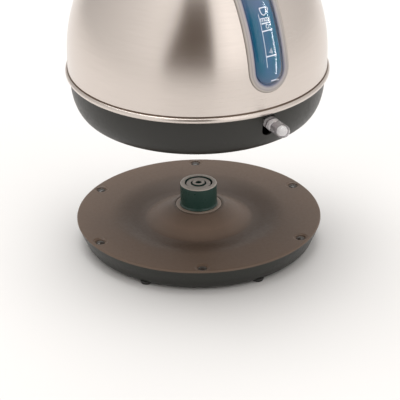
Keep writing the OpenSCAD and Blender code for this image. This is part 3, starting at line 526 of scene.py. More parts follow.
def pillar():
    b, pt = 20.0, 46.2
    side = [(0, 12), (14.1, 12), (14.1, b + 3.4), (17, b + 3.4), (17, b + 5.4), (14.1, b + 5.4), (14.1, b + 8.05), (14.42, b + 8.25), (14.52, b + 8.65), (14.42, b + 9.0), (14.1, b + 9.25), (13.95, b + 9.6), (13.9, b + 10.2), (13.9, pt - 1.45), (13.87, pt - 1.2)]
    top = [(13.87, pt - 1.2)] + arc(12.6, pt - 1.27, 1.27, 6, 88, 8) + [(10.85, pt), (10.62, pt - 0.08), (10.5, pt - 0.35), (10.5, pt - 15.5), (9.3, pt - 15.5), (9.3, pt - 1.2), (9.18, pt - 0.98), (8.9, pt - 0.9),
        (6.25, pt - 0.9), (6.0, pt - 1.0), (5.9, pt - 1.3), (5.9, pt - 13.5), (4.7, pt - 13.5), (4.7, pt - 0.3), (4.6, pt - 0.08), (4.35, pt), (2.8, pt), (2.5, pt - 0.12), (2.4, pt - 0.45), (2.4, pt - 13.5), (0, pt - 13.5)]
    v, f = lathe_data(side + top[1:], 128)
    o = new_obj("connector_pillar_body", v, f, "power_base", M["pillar"], sharp=42)
    # painted light: the top face gets a paler copy of the plastic than the side, as if lit from above
    o.data.materials.append(M["pillar_top"])
    for q in o.data.polygons:
        c = q.center; r = math.hypot(c.x, c.y)*1000; z = c.z*1000
        if z > pt - 1.45 and (r > 10.55 or r < 4.65 or 6.0 < r < 9.25) and q.normal.z > 0.25: q.material_index = 1
    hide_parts("connector_pillar")
pillar()

# ------------------------------------------------------------------ kettle body
def steel_body():
    prof = []
    # outside, from under the rolled lip up to the lid opening
    lip = arc(95.65, 32.15, 2.15, -160, 66, 22)
    prof += lip
    prof += [(96.3, 34.15), (95.75, 34.3), (95.62, 34.7), (95.75, 35.1), (96.0, 35.3)]
    for i in range(1, 7): prof.append((96.0, 35.3 + (ARC_Z - 35.3)*i/6))
    n = 84
    th1 = math.asin((TOP_Z - 0.25 - ARC_Z)/DOME_R)
    for i in range(1, n + 1):
        th = th1*i/n
        prof.append((-24 + DOME_R*math.cos(th), ARC_Z + DOME_R*math.sin(th)))
    prof += [(42.15, TOP_Z - 0.15), (42.02, TOP_Z - 0.45), (42.02, TOP_Z - 0.75)]
    th2 = math.asin((TOP_Z - 1.15 - ARC_Z)/119.2)
    for i in range(n, 0, -1):
        th = th2*i/n
        prof.append((-24 + 119.2*math.cos(th), ARC_Z + 119.2*math.sin(th)))
    prof += [(95.2, ARC_Z), (95.2, 40.0), (95.1, 36.5), (94.6, 34.6), (93.9, 33.6)]
    v, f = lathe_data(prof, 360, KZ)
    o = new_obj("steel_body_shell", v, f, "kettle", M["steel"], sharp=38)
    # painted shade: the faces of the groove above the rolled lip get the dark steel
    o.data.materials.append(M["seam"])
    for q in o.data.polygons:
        c = q.center; r = math.hypot(c.x, c.y)*1000; z = (c.z - KZ)*1000
        if 95.4 < r < 96.6 and 34.1 < z < 35.05: q.material_index = 1
    # window slot, a hair wider than the frame, so that a fine dark gap shows round it
    w = 33.9; z0, z1 = 47.5 - 0.45, 129.0 + 0.45
    ring = []
    ns = 40
    for i in range(ns + 1):
        a = math.radians(180 + 180*i/ns); ring.append((w/2*math.cos(a), z0 + w/2 + w/2*math.sin(a)))
    for i in range(ns + 1):
        a = math.radians(180*i/ns); ring.append((w/2*math.cos(a), z1 - w/2 + w/2*math.sin(a)))
    vs = [(0.045, y*mm, KZ + z*mm) for y, z in ring] + [(0.112, y*mm, KZ + z*mm) for y, z in ring]
    k = len(ring)
    fs = [tuple(range(k)), tuple(range(2*k - 1, k - 1, -1))] + [(i, (i + 1) % k, k + (i + 1) % k, k + i) for i in range(k)]
    cut(o, tmp_obj("c", vs, fs), 38)
    # spout hole
    cv, cf = spout_cone(-1.0, 96)
    c = tmp_obj("c", cv, cf)
    lim = tmp_obj("l", [(x, y, z) for x in (-0.15, -0.03) for y in (-0.06, 0.06) for z in (KZ + 0.096, KZ + 0.139)],
                  [(0, 1, 3, 2), (4, 6, 7, 5), (0, 4, 5, 1), (2, 3, 7, 6), (0, 2, 6, 4), (1, 5, 7, 3)])
    m = c.modifiers.new("i", "BOOLEAN"); m.operation = "INTERSECT"; m.object = lim; m.solver = "EXACT"; apply_mods(c); bpy.data.objects.remove(lim)
    cut(o, c, 38)
    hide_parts("steel_body")
    return o
def spout_cone(d, segs=96):
    v, f = lathe_data([(0, 0), (31 + d, 0), (7 + d, 74), (0, 74)], segs)
    mtx = Matrix.Translation((-0.056, 0, KZ + 0.088)) @ Matrix.Rotation(math.radians(-42), 4, "Y")
    return [tuple(mtx @ Vector(p)) for p in v], f
steel_body()

def skirt():
    n = 40
    outer = [(82.3 + 12*math.cos(math.radians(90*i/n)), 27 - 26.92*math.sin(math.radians(90*i/n))) for i in range(n + 1)]
    inner = [(80.4 + 11.5*math.cos(math.radians(90*i/n)), 27 - 24.7*math.sin(math.radians(90*i/n))) for i in range(n, -1, -1)]
    prof = [(93.2, 34.8), (93.2, 31.0), (93.7, 30.4), (94.2, 30.1), (94.3, 29.6)] + outer + [(80.6, 0.08), (80.4, 0.25), (80.4, 2.3)] + inner + [(90.9, 29), (90.9, 34.8)]
    v, f = lathe_data(prof, 288, KZ)
    o = new_obj("skirt_shell", v, f, "kettle", M["skirt"], sharp=45)
    # lever slot with round ends
    w = 10.9; z0, z1 = 12.3, 29.6
    ring = [(w/2*math.cos(math.radians(180 + 180*i/24)), z0 + w/2 + w/2*math.sin(math.radians(180 + 180*i/24))) for i in range(25)] + \
           [(w/2*math.cos(math.radians(180*i/24)), z1 - w/2 + w/2*math.sin(math.radians(180*i/24))) for i in range(25)]
    vs = [(0.078, y*mm, KZ + z*mm) for y, z in ring] + [(0.110, y*mm, KZ + z*mm) for y, z in ring]
    k = len(ring)
    fs = [tuple(range(k)), tuple(range(2*k - 1, k - 1, -1))] + [(i, (i + 1) % k, k + (i + 1) % k, k + i) for i in range(k)]
    cut(o, tmp_obj("c", vs, fs), 45)
    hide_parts("skirt")
skirt()

# ------------------------------------------------------------------ level window
def stadium(w, z0, z1, ns=28, nl=24):
    """Closed outline (y, z) with evenly spread points, and for each the nearest point of the middle line."""
    pts = []
    h = w/2
    for i in range(ns + 1):
        a = math.radians(180 + 180*i/ns); pts.append((h*math.cos(a), z0 + h + h*math.sin(a), 0.0, z0 + h))
    for i in range(1, nl):
        z = z0 + h + (z1 - z0 - w)*i/nl; pts.append((h, z, 0.0, z))
    for i in range(ns + 1):
        a = math.radians(180*i/ns); pts.append((h*math.cos(a), z1 - h + h*math.sin(a), 0.0, z1 - h))
    for i in range(1, nl):
        z = z1 - h - (z1 - z0 - w)*i/nl; pts.append((-h, z, 0.0, z))
    return pts
def on_dome(y, z, d):
    """Row-frame point of the +X side of the body's surface moved out by d mm, at y, z mm."""
    r = dome_radius(z, d)
    return Vector((math.sqrt(max(1e-6, r*r - y*y))*mm, y*mm, KZ + z*mm))
def stadium_surface(z0, z1, w_ref, rows, closed=True, cap_first=False, cap_last=False):
    """rows: list of (half width rho, offset d). One ring of points each, joined by quads. The cap_first and cap_last
    arguments are not used: no ring is capped here.
    """
    base = stadium(2.0, z0 + w_ref/2 - 1.0, z1 - w_ref/2 + 1.0)     # unit half width, same middle line
    verts, rings = [], []
    for rho, d in rows:
        idx = []
        for (y, z, my, mz) in base:
            yy, zz = my + (y - my)*rho, mz + (z - mz)*rho
            verts.append(on_dome(yy, zz, d)); idx.append(len(verts) - 1)
        rings.append(idx)
    faces = []
    k = len(base)
    pairs = list(range(len(rings))) if closed else list(range(len(rings) - 1))
    for p in pairs:
        A, B = rings[p], rings[(p + 1) % len(rings)]
        for i in range(k):
            j = (i + 1) % k
            faces.append((A[i], A[j], B[j], B[i]))
    return verts, faces, rings
Z0, Z1, WW = 47.5, 129.0, 33.0
# frosted clear frame: a soft raised rim that slopes in to the lens
rows = [(16.5, -1.8), (16.5, 0.15)] + [(16.5 - 0.7*(1 - math.cos(math.radians(90*i/5))), 0.15 + 0.75*math.sin(math.radians(90*i/5))) for i in range(1, 6)] + \
       [(14.6, 1.0), (13.4, 0.95), (12.4, 0.75), (11.9, 0.5), (11.62, 0.1), (11.6, -1.0), (11.6, -3.0), (19.9, -3.0), (19.9, -1.95), (16.6, -1.8)]
v, f, _ = stadium_surface(Z0, Z1, WW, rows)
o = new_obj("window_rim", v, f, "kettle", M["window"], sharp=45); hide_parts("window_frame")
# bulging clear lens, hollow behind, so that its edge and its crown both catch the light
def bulge(rho, w, h, p=2.3): return h*max(0.0, 1 - (rho/w)**p)**0.5
def lens_skin(w, h, d0, verts, nu=36, nc=14, ns=34):
    """Grid over the whole window with one point at each end: (top and bottom poles, rows between, boundary loop)."""
    za, zb = Z0 + WW/2, Z1 - WW/2
    zs = [za - w*math.cos(math.pi/2*i/nc) for i in range(1, nc + 1)] + [za + (zb - za)*i/ns for i in range(1, ns + 1)] + [zb + w*math.sin(math.pi/2*i/nc) for i in range(1, nc)]
    def put(y, z):
        dz = max(0.0, za - z, z - zb); rho = min(w, math.hypot(y, dz))
        verts.append(on_dome(y, z, d0 + bulge(rho, w, h))); return len(verts) - 1
    lo = put(0, za - w); rows = []
    for z in zs:
        dz = max(0.0, za - z, z - zb); hw = math.sqrt(max(0.0, w*w - dz*dz))
        rows.append([put(hw*math.sin(math.pi*(k_/nu - 0.5)), z) for k_ in range(nu + 1)])
    hi = put(0, zb + w)
    fs = [(lo, rows[0][k_ + 1], rows[0][k_]) for k_ in range(nu)] + [(hi, rows[-1][k_], rows[-1][k_ + 1]) for k_ in range(nu)]
    for A, B in zip(rows[:-1], rows[1:]):
        fs += [(A[k_], A[k_ + 1], B[k_ + 1], B[k_]) for k_ in range(nu)]
    loop = [lo] + [r_[-1] for r_ in rows] + [hi] + [r_[0] for r_ in reversed(rows)]
    return fs, loop
def lens_edge(w, d, like_nc=14, like_ns=34):
    za, zb = Z0 + WW/2, Z1 - WW/2
    zs = [za - w*math.cos(math.pi/2*i/like_nc) for i in range(1, like_nc + 1)] + [za + (zb - za)*i/like_ns for i in range(1, like_ns + 1)] + [zb + w*math.sin(math.pi/2*i/like_nc) for i in range(1, like_nc)]
    out = [(0.0, za - w)]
    side = [(math.sqrt(max(0.0, w*w - max(0.0, za - z, z - zb)**2)), z) for z in zs]
    out += side + [(0.0, zb + w)] + [(-y, z) for y, z in reversed(side)]
    return [on_dome(y, z, d) for y, z in out]
lv = []
lf, l_out = lens_skin(11.45, 2.9, 0.2, lv)
f2, l_in = lens_skin(10.4, 2.4, -0.9, lv)
lf += [tuple(reversed(q)) for q in f2]
r1 = list(range(len(lv), len(lv) + len(l_out))); lv += lens_edge(11.45, -1.4)
r2 = list(range(len(lv), len(lv) + len(l_out))); lv += lens_edge(10.4, -1.4)
for A, B in ((l_out, r1), (r1, r2), (r2, l_in)):
    lf += [(A[i], B[i], B[(i + 1) % len(A)], A[(i + 1) % len(A)]) for i in range(len(A))]
o = new_obj("gauge_lens_clear", lv, lf, "kettle", M["lens"], sharp=50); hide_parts("gauge_lens")
# blue strip behind it
def cap(ring):
    """Close a ring by pairing each of its points with its mirror across the middle line."""
    ks, kl = 28, 24
    right = ring[ks:ks + kl + 1]
    left = [ring[0]] + list(reversed(ring[2*(ks + 1) + (kl - 1):])) + [ring[2*(ks + 1) + (kl - 1) - 1]]
    qs = [(left[i], right[i], right[i + 1], left[i + 1]) for i in range(min(len(left), len(right)) - 1)]
    return qs + [tuple(ring[0:ks + 1]), tuple(ring[ks + kl:ks + kl + ks + 1])]
rows = [(11.3, -1.6), (10.9, -1.35), (9.5, -1.15), (7.5, -1.05), (5.0, -1.0), (2.5, -1.0), (0.6, -1.0)]
back_rows = [(0.6, -2.6), (11.3, -2.6)]
v, f, rings = stadium_surface(Z0, Z1, WW, rows + back_rows)
A, B = rings[len(rows) - 1], rings[len(rows)]
f = [q for q in f if not (set(q) & set(A) and set(q) & set(B))]
f += cap(A) + cap(B)
new_obj("gauge_strip", v, f, "kettle", M["gauge"], sharp=50)

# printed level marks: thin raised ribbons on the blue strip
def ribbon(points, width, d=-0.90, th=0.09):
    """Flat ribbon of a polyline in (y, z) mm on the window's surface."""
    vs, fs = [], []
    P = [Vector(p) for p in points]
    n = len(P)
    for i, p in enumerate(P):
        a = P[max(0, i - 1)]; b = P[min(n - 1, i + 1)]
        t_ = (b - a).normalized(); nn = Vector((-t_.y, t_.x))
        ext = 0
        for s, dd in ((1, d - th), (1, d), (-1, d), (-1, d - th)):
            q = p + nn*(s*width/2)
            vs.append(on_dome(q.x, q.y, dd))
    for i in range(n - 1):
        for k4 in range(4):
            a0, a1 = i*4 + k4, i*4 + (k4 + 1) % 4
            fs.append((a0, a1, a1 + 4, a0 + 4))
    fs.append((0, 1, 2, 3)); fs.append(((n - 1)*4 + 3, (n - 1)*4 + 2, (n - 1)*4 + 1, (n - 1)*4))
    return vs, fs
def add_ribbon(acc, pts, width=0.7):
    v_, f_ = ribbon(pts, width)
    off = len(acc[0]); acc[0].extend(v_); acc[1].extend([tuple(x + off for x in q) for q in f_])
def seg_arc(cx, cz, rx, rz, a0, a1, n=12):
    return [(cx + rx*math.cos(math.radians(a0 + (a1 - a0)*i/n)), cz + rz*math.sin(math.radians(a0 + (a1 - a0)*i/n))) for i in range(n + 1)]
def digit(acc, ch, x, z, h=3.6, w=0.55):
    s = h/4.0
    if ch == "4":
        add_ribbon(acc, [(x + 0.9*s, z + 4*s), (x - 1.2*s, z + 1.2*s), (x + 1.7*s, z + 1.2*s)], w); add_ribbon(acc, [(x + 0.9*s, z + 2.8*s), (x + 0.9*s, z)], w)
    elif ch == "6":
        add_ribbon(acc, seg_arc(x, z + 1.3*s, 1.25*s, 1.3*s, 0, 360, 20), w); add_ribbon(acc, [(x - 1.22*s, z + 1.5*s), (x - 0.9*s, z + 2.9*s), (x + 0.1*s, z + 3.9*s), (x + 0.9*s, z + 4.0*s)], w)
    elif ch == "2":
        add_ribbon(acc, seg_arc(x, z + 2.9*s, 1.2*s, 1.1*s, 170, -30, 10) + [(x - 1.2*s, z), (x + 1.4*s, z)], w)
acc = ([], [])
for ch, z in (("4", 73.0), ("6", 90.3)):
    add_ribbon(acc, [(-1.3, z), (3.0, z), (7.2, z)], 0.80)
    digit(acc, ch, 2.7 if ch == "4" else 3.6, z + 1.30, 3.8, 0.42)
add_ribbon(acc, [(-0.8, 95.2), (3.0, 95.2), (7.0, 95.2)], 0.80)
add_ribbon(acc, [(0.8, 55.2), (3.8, 55.2), (6.8, 55.2)], 0.75)
def letters(acc, x, z):
    w = 0.48
    add_ribbon(acc, [(x, z), (x, z + 2.3)], w); add_ribbon(acc, seg_arc(x + 0.7, z + 1.5, 0.7, 0.75, 180, 0, 8) + [(x + 1.4, z)], w); add_ribbon(acc, seg_arc(x + 2.1, z + 1.5, 0.7, 0.75, 180, 0, 8) + [(x + 2.8, z)], w)
    add_ribbon(acc, seg_arc(x + 4.3, z + 1.1, 0.8, 1.1, 0, 360, 16), w); add_ribbon(acc, [(x + 5.15, z + 2.25), (x + 5.15, z)], w)
    add_ribbon(acc, [(x + 5.9, z + 2.25), (x + 7.6, z)], w); add_ribbon(acc, [(x + 5.9, z), (x + 7.6, z + 2.25)], w)
letters(acc, -0.7, 96.3)
# cup sign with its handle
add_ribbon(acc, [(0.4, 105.0), (3.0, 105.0), (5.4, 105.0)], 0.62)
add_ribbon(acc, [(0.4, 105.2), (0.6, 102.9), (1.3, 101.0), (2.9, 100.1), (4.5, 101.0), (5.2, 102.9), (5.4, 105.2)], 0.62)
add_ribbon(acc, seg_arc(5.6, 103.6, 1.6, 1.3, 100, -110, 12), 0.55)
add_ribbon(acc, [(-1.5, z_) for z_ in (65.3, 72.0, 78.0, 84.0, 90.3, 96.0, 101.5)], 0.34)
new_obj("gauge_marks", acc[0], acc[1], "kettle", M["print"], sharp=30)

# ------------------------------------------------------------------ switch lever: clear rounded bar with a bright domed tip; the light of its inner light pipe is painted by pale pieces inside it, with dark pieces for shade
def lever():
    piv = Vector((0.068, 0, KZ + 0.0248)); droop = math.radians(3)
    mtx = Matrix.Translation(piv) @ Matrix.Rotation(droop, 4, "Y")
    W, H = 5.0, 4.6
    stations = []
    for i in range(4): stations.append((4.0 + 0.45*i, 0.86 + 0.14*math.sin(math.radians(30*i))))
    for i in range(1, 15): stations.append((5.4 + (42.8 - 5.4)*i/15, 1.0))
    for i in range(0, 11):
        a = math.radians(90*i/10); stations.append((43.0 + 5.0*math.sin(a), max(0.001, math.cos(a))**0.85))
    segs = 40
    vs, fs, rings = [], [], []
    for s, sc in stations:
        idx = []
        for i in range(segs):
            a = 2*math.pi*i/segs
            # slightly squared round section
            c, q = math.cos(a), math.sin(a)
            k_ = (abs(c)**2.3 + abs(q)**2.3)**(-1/2.3)
            y, z = W*sc*c*k_, H*sc*q*k_
            vs.append(mtx @ Vector((s*mm, y*mm, z*mm))); idx.append(len(vs) - 1)
        rings.append(idx)
    for k_ in range(len(rings) - 1):
        for i in range(segs):
            j = (i + 1) % segs; fs.append((rings[k_][i], rings[k_][j], rings[k_ + 1][j], rings[k_ + 1][i]))
    fs.append(tuple(reversed(rings[0]))); fs.append(tuple(rings[-1]))
    o = new_obj("lever_bar", vs, fs, "lever", M["lever"], sharp=50)
    # hub and inner arm
    hub, hf = lathe_data(round_profile([(1.55, -5.4), (4.0, -5.4), (4.0, 5.4), (1.55, 5.4)], 0.4, 3), 48)
    mh = Matrix.Translation(piv) @ Matrix.Rotation(math.radians(90), 4, "X")
    hub = [mh @ Vector(p) for p in hub]
    new_obj("lever_hub", hub, hf, "lever", M["lever"], sharp=40)
    bx = bmesh.new(); bmesh.ops.create_cube(bx, size=1.0)
    for q in bx.verts:
        q.co = Vector((-8.5 + (q.co.x + 0.5)*6.2, q.co.y*6.0, q.co.z*5.2))*mm
    bmesh.ops.bevel(bx, geom=list(bx.edges), offset=0.0005, segments=3, affect="EDGES", profile=0.5)
    me = bpy.data.meshes.new("lever_arm"); bx.to_mesh(me); bx.free(); me.transform(Matrix.Translation(piv)); me.shade_smooth(); me.set_sharp_from_angle(angle=math.radians(40))
    arm = bpy.data.objects.new("lever_arm", me); SC.collection.objects.link(arm); me.materials.append(M["lever"]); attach(arm, "lever")
    # the bar is moulded round a light pipe, whose light is painted by pale opaque pieces inside it: two slanted bright
    # facets at its root and a ball at its end as painted highlights, and dark pieces between and beyond them as painted
    # shade
    def inner(name, boxes, mat):
        vs, fs = [], []
        for (x0, x1, y0, y1, z0, z1, sl) in boxes:
            o8 = len(vs)
            for x in (x0, x1):
                for y in (y0, y1):
                    for z in (z0, z1): vs.append(mtx @ Vector(((x + sl*z)*mm, y*mm, z*mm)))
            fs += [tuple(o8 + q for q in f4) for f4 in ((0, 1, 3, 2), (4, 6, 7, 5), (0, 4, 5, 1), (2, 3, 7, 6), (0, 2, 6, 4), (1, 5, 7, 3))]
        new_obj(name, vs, fs, "lever", M[mat], sharp=30)
    inner("lever_painted_highlight_facets", [(25.6, 27.4, -3.6, 3.6, -3.2, 3.2, 0.35), (29.2, 31.4, -3.4, 3.4, -3.0, 3.0, 0.35)], "lever_core_painted_highlight")
    inner("lever_shadow_rib", [(27.9, 28.7, -3.7, 3.7, -3.3, 3.3, 0.35), (32.2, 38.4, -1.3, 0.9, -1.4, 0.2, 0.0)], "lever_painted_shade")
    bv, bf, br = [], [], []
    for k_ in range(0, 13):
        th = math.radians(180*k_/12); idx = []
        for i in range(24):
            a = 2*math.pi*i/24
            bv.append(mtx @ Vector(((42.6 - 3.0*math.cos(th))*mm, 2.9*max(1e-4, math.sin(th))*math.cos(a)*mm, 2.7*max(1e-4, math.sin(th))*math.sin(a)*mm))); idx.append(len(bv) - 1)
        br.append(idx)
    for k_ in range(12):
        for i in range(24):
            j = (i + 1) % 24; bf.append((br[k_][i], br[k_][j], br[k_ + 1][j], br[k_ + 1][i]))
    new_obj("lever_end_painted_highlight_ball", bv, bf, "lever", M["lever_ball"], sharp=60)
    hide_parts("switch_lever")
# painted highlight and painted shade: pale and dark opaque copies used inside the clear bar
M["lever_core_painted_highlight"] = plastic("mat_lever_core", (0.80, 0.78, 0.78), rough=0.35, tex=0.3, var=0.05)
M["lever_painted_shade"] = plastic("mat_lever_dark", (0.16, 0.13, 0.14), rough=0.35, tex=0.3, var=0.05)
M["lever_ball"] = plastic("mat_lever_ball", (0.93, 0.93, 0.92), rough=0.30, tex=0.2, var=0.03)
lever()

# ------------------------------------------------------------------ lid
def lid():
    z = TOP_Z + 0.4; top = TOP_Z + 13.8
    rr = (44.5**2 + 11.4**2)/(2*11.4)
    cz = top - rr
    th = math.asin(42.6/rr)
    outer = [(rr*math.sin(th*i/40), cz + rr*math.cos(th*i/40)) for i in range(40, 0, -1)]
    inner = [((rr - 0.9)*math.sin(th*0.995*i/40), cz + (rr - 0.9)*math.cos(th*0.995*i/40)) for i in range(1, 41)]
    rim = [(43.7, z + 0.05), (44.2, z + 0.02), (44.5, z + 0.35), (44.55, z + 1.3), (44.4, z + 2.0), (43.9, z + 2.5)]
    prof = rim + outer + [(1.6, top - 0.02), (1.6, top - 0.9)] + inner + [(43.6, z + 1.6)]
    v, f = lathe_data(prof, 200, KZ)
    o = new_obj("lid_dome", v, f, "lid", M["steel"], sharp=40)
    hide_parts("lid_shell")
    # knob
    t0 = top
    pts = [(1.6, t0 + 0.2), (7.8, t0 - 0.15), (8.2, t0 + 0.15), (7.9, t0 + 0.7), (6.9, t0 + 1.9), (6.3, t0 + 3.4), (6.6, t0 + 4.9), (7.8, t0 + 6.0), (10.0, t0 + 6.6), (11.8, t0 + 7.4), (13.0, t0 + 8.6),
           (13.4, t0 + 10.2), (13.1, t0 + 11.8), (12.0, t0 + 13.1), (10.2, t0 + 13.9), (7.6, t0 + 14.35), (4.0, t0 + 14.55), (0, t0 + 14.6), (0, t0 + 9.0), (1.6, t0 + 9.0)]
    v, f = lathe_data(pts, 96, KZ)
    o = new_obj("lid_knob_turned", v, f, "lid", M["grip"], sharp=50)
    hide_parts("lid_knob")
    # thin bright inlay ring on the knob
    v, f = lathe_data(arc(9.2, t0 + 14.05, 0.45, 0, 345, 14), 96, KZ)
    new_obj("knob_inlay", v, f, "lid", M["satin"], sharp=60)
lid()

# ------------------------------------------------------------------ handle
HZ, HR = 160.0, 56.0
def hoop_frame(a):
    """Point and directions of the hoop at angle a (degrees): outward and side."""
    r = math.radians(a)
    out = Vector((math.cos(r), 0, math.sin(r)))
    return Vector((HR*math.cos(r)*mm, 0, KZ + (HZ + HR*math.sin(r))*mm)), out, Vector((0, 1, 0))
def sweep(name, angles, section, body, mat, sharp=40, caps=True):
    vs, rings, fs = [], [], []
    for a in angles:
        c, out, side = hoop_frame(a)
        idx = []
        for (u, w) in section(a):
            vs.append(c + out*(u*mm) + side*(w*mm)); idx.append(len(vs) - 1)
        rings.append(idx)
    k = len(rings[0])
    for p in range(len(rings) - 1):
        for i in range(k):
            j = (i + 1) % k; fs.append((rings[p][i], rings[p][j], rings[p + 1][j], rings[p + 1][i]))
    if caps: fs.append(tuple(reversed(rings[0]))); fs.append(tuple(rings[-1]))
    return new_obj(name, vs, fs, body, mat, sharp=sharp)
def end_scale(a, a0, a1, soft=2.6):
    d = min(a - a0, a1 - a)
    if d >= soft: return 1.0
    return 0.80 + 0.20*math.sqrt(max(0.0, 1 - (1 - d/soft)**2))
def grip_section(side):
    def sec(a):
        s = end_scale(a, 12.0, 168.0)
        # finger swell: a little fuller on the underside in the middle
        swell = 1.0 + 0.02*math.cos(math.radians((a - 90)*2))
        pts = []
        n = 26
        for i in range(n + 1):
            t = math.radians(-90 + 180*i/n) if side > 0 else math.radians(90 + 180*i/n)
            c, q = math.cos(t), math.sin(t)
            k_ = (abs(c)**2.35 + abs(q)**2.35)**(-1/2.35)
            pts.append((10.9*s*c*k_ + (0.12 if side > 0 else -0.12), min(10.95, 10.7*s*swell)*q*k_))
        # inner wall
        for i in range(n + 1):
            t = math.radians(90 - 180*i/n) if side > 0 else math.radians(270 - 180*i/n)
            c, q = math.cos(t), math.sin(t)
            k_ = (abs(c)**2.35 + abs(q)**2.35)**(-1/2.35)
            pts.append((8.3*s*c*k_ + (0.12 if side > 0 else -0.12), 8.2*s*q*k_))
        return pts
    return sec
angs = [12.0, 12.12, 12.35, 12.8, 13.4, 14.2] + [15 + 150*i/90 for i in range(91)] + [165.8, 166.6, 167.2, 167.65, 167.88, 168.0]
up_ = sweep("grip_top", angs, grip_section(1), "kettle", M["grip"], sharp=42, caps=True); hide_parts("handle_upper_shell")
dn_ = sweep("grip_underside", angs, grip_section(-1), "kettle", M["grip"], sharp=42, caps=True)
# screw wells in the underside
cv, cf = [], []
for m_ in (0, 1):
    a = 19.0 if m_ == 0 else 161.0
    c, out, side = hoop_frame(a)
    q = (out).to_track_quat("Z", "Y").to_matrix().to_4x4(); q.translation = c
    w, g = lathe_data([(0, -16), (2.95, -16), (2.95, -8.4), (1.6, -8.3), (1.6, -1), (0, -1)], 32)
    off = len(cv); cv += [q @ Vector(p) for p in w]; cf += [tuple(x + off for x in z_) for z_ in g]
cut(dn_, tmp_obj("c", cv, cf), 42)
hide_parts("handle_lower_shell")

def strap_section(a, wide=9.0):
    # rounded rectangle, flared a little where it lands on the dome
    e = min(a + 24.0, 204.0 - a)
    fl = 1.0 + 0.10*max(0.0, 1 - e/16.0)**2
    hw, ht, r = wide*fl, 2.5, 1.3
    pts = []
    for cx, cy, a0 in ((ht - r, hw - r, 0), (-ht + r, hw - r, 90), (-ht + r, -hw + r, 180), (ht - r, -hw + r, 270)):
        for i in range(6):
            t = math.radians(a0 + 90*i/5); pts.append((cx + r*math.cos(t), cy + r*math.sin(t)))
    return pts
def strap(name, front):
    A = [-24 + 37*i/44 for i in range(45)]
    if front: A = [180 - x for x in A]
    o = sweep(name, A, strap_section, "kettle", M["satin"], sharp=40)
    # trim with the dome, so that the foot sits on the steel
    v, f = lathe_data([(0, 60)] + [(dome_radius(60 + 100*i/60.0, -0.3), 60 + 100*i/60.0) for i in range(61) if dome_radius(60 + 100*i/60.0, -0.3) > 1] + [(0, 160)], 180, KZ)
    cut(o, tmp_obj("c", v, f), 40)
    # tongue that goes up into the grip
    B = [12.0 + 11.5*i/12 for i in range(13)]
    if front: B = [180 - x for x in B]
    tg = sweep(name + "_tongue", B, lambda a: [(2.4, 5.4), (-2.4, 5.4), (-2.4, -5.4), (2.4, -5.4)], "kettle", M["satin"], sharp=40)
    return o, tg
o, tg = strap("strap_rear", False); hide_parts("handle_bracket_rear")
o, tg = strap("strap_front", True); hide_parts("handle_bracket_front")
# collar rings where grip meets strap
for nm, a0, a1 in (("ferrule_rear", 10.9, 12.05), ("ferrule_front", 167.95, 169.1)):
    def sec(a):
        pts = []
        for i in range(40):
            t = 2*math.pi*i/40; c, q = math.cos(t), math.sin(t); k_ = (abs(c)**2.35 + abs(q)**2.35)**(-1/2.35)
            mid = 1 - abs((a - (a0 + a1)/2)/((a1 - a0)/2))**3
            pts.append(((8.7 + 0.55*mid)*c*k_, (8.6 + 0.75*mid)*q*k_))
        return pts
    sweep(nm, [a0 + (a1 - a0)*i/8 for i in range(9)], sec, "kettle", M["satin"], sharp=50)

# ------------------------------------------------------------------ spout: turned-out lip at the mouth and a soft weld fillet on the dome
def spout():
    mtx = Matrix.Translation((-0.056, 0, KZ + 0.088)) @ Matrix.Rotation(math.radians(-42), 4, "Y")
    zc = KZ + 0.139
    segs, rows = 120, 30
    inv = mtx.inverted()
    def cone(phi, t, d=0.0):
        r = 31 + d - 24.0*t/74.0
        return mtx @ Vector((r*math.cos(phi)*mm, r*math.sin(phi)*mm, t*mm))
    def outside(p):
        z = (p.z - KZ)*1000
        return math.hypot(p.x, p.y)*1000 - dome_radius(z, 0.0)
    outer, inner = [], []
    for i in range(segs):
        phi = 2*math.pi*i/segs
        # t where it leaves the dome
        lo_, hi_ = 0.0, 74.0
        t = 0.0
        prev = outside(cone(phi, 0.0))
        t0 = None
        for s in range(1, 297):
            t = s*0.25
            cur = outside(cone(phi, t))
            if prev < 0 <= cur: t0 = t - 0.25*cur/(cur - prev)
            prev = cur
        if t0 is None: t0 = 20.0
        # t where it meets the mouth plane
        t1 = 74.0
        pz = None
        for s in range(0, 297):
            t = s*0.25
            if cone(phi, t).z >= zc: t1 = t; break
        # refine
        a_, b_ = max(0, t1 - 0.25), t1
        for _ in range(20):
            m_ = (a_ + b_)/2
            if cone(phi, m_).z >= zc: b_ = m_
            else: a_ = m_
        t1 = b_
        outer.append((phi, t0, t1))
    vs, fs, rings_o, rings_i = [], [], [], []
    for j in range(rows + 1):
        u = j/rows
        io, ii = [], []
        for (phi, t0, t1) in outer:
            t = t0 + (t1 - t0)*u
            dist = (t - t0)
            fil = 3.2*max(0.0, 1 - dist/7.0)**2.2 if u < 1 else 0.0      # weld fillet
            lipd = 0.9*max(0.0, 1 - (t1 - t)/2.2)**2                      # turned-out lip
            p = cone(phi, t - 0.0, fil + lipd)
            if j == 0:
                # land on the dome itself
                z = (p.z - KZ)*1000; r = dome_radius(z, 0.02); h = math.hypot(p.x, p.y)*1000
                p = Vector((p.x*r/h, p.y*r/h, p.z))
            vs.append(p); io.append(len(vs) - 1)
        rings_o.append(io)
    for j in range(rows + 1):
        u = j/rows
        ii = []
        for (phi, t0, t1) in outer:
            t = t0 + (t1 - t0)*u
            lipd = 0.9*max(0.0, 1 - (t1 - t)/2.2)**2
            p = cone(phi, t + (0.6 if j == 0 else 0), -1.0 + lipd)
            vs.append(p); ii.append(len(vs) - 1)
        rings_i.append(ii)
    order = rings_o + list(reversed(rings_i))
    for p in range(len(order)):
        A, B = order[p], order[(p + 1) % len(order)]
        for i in range(segs):
            j = (i + 1) % segs; fs.append((A[i], A[j], B[j], B[i]))
    o = new_obj("spout_beak", vs, fs, "kettle", M["steel"], sharp=50)
    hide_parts("spout")
spout()

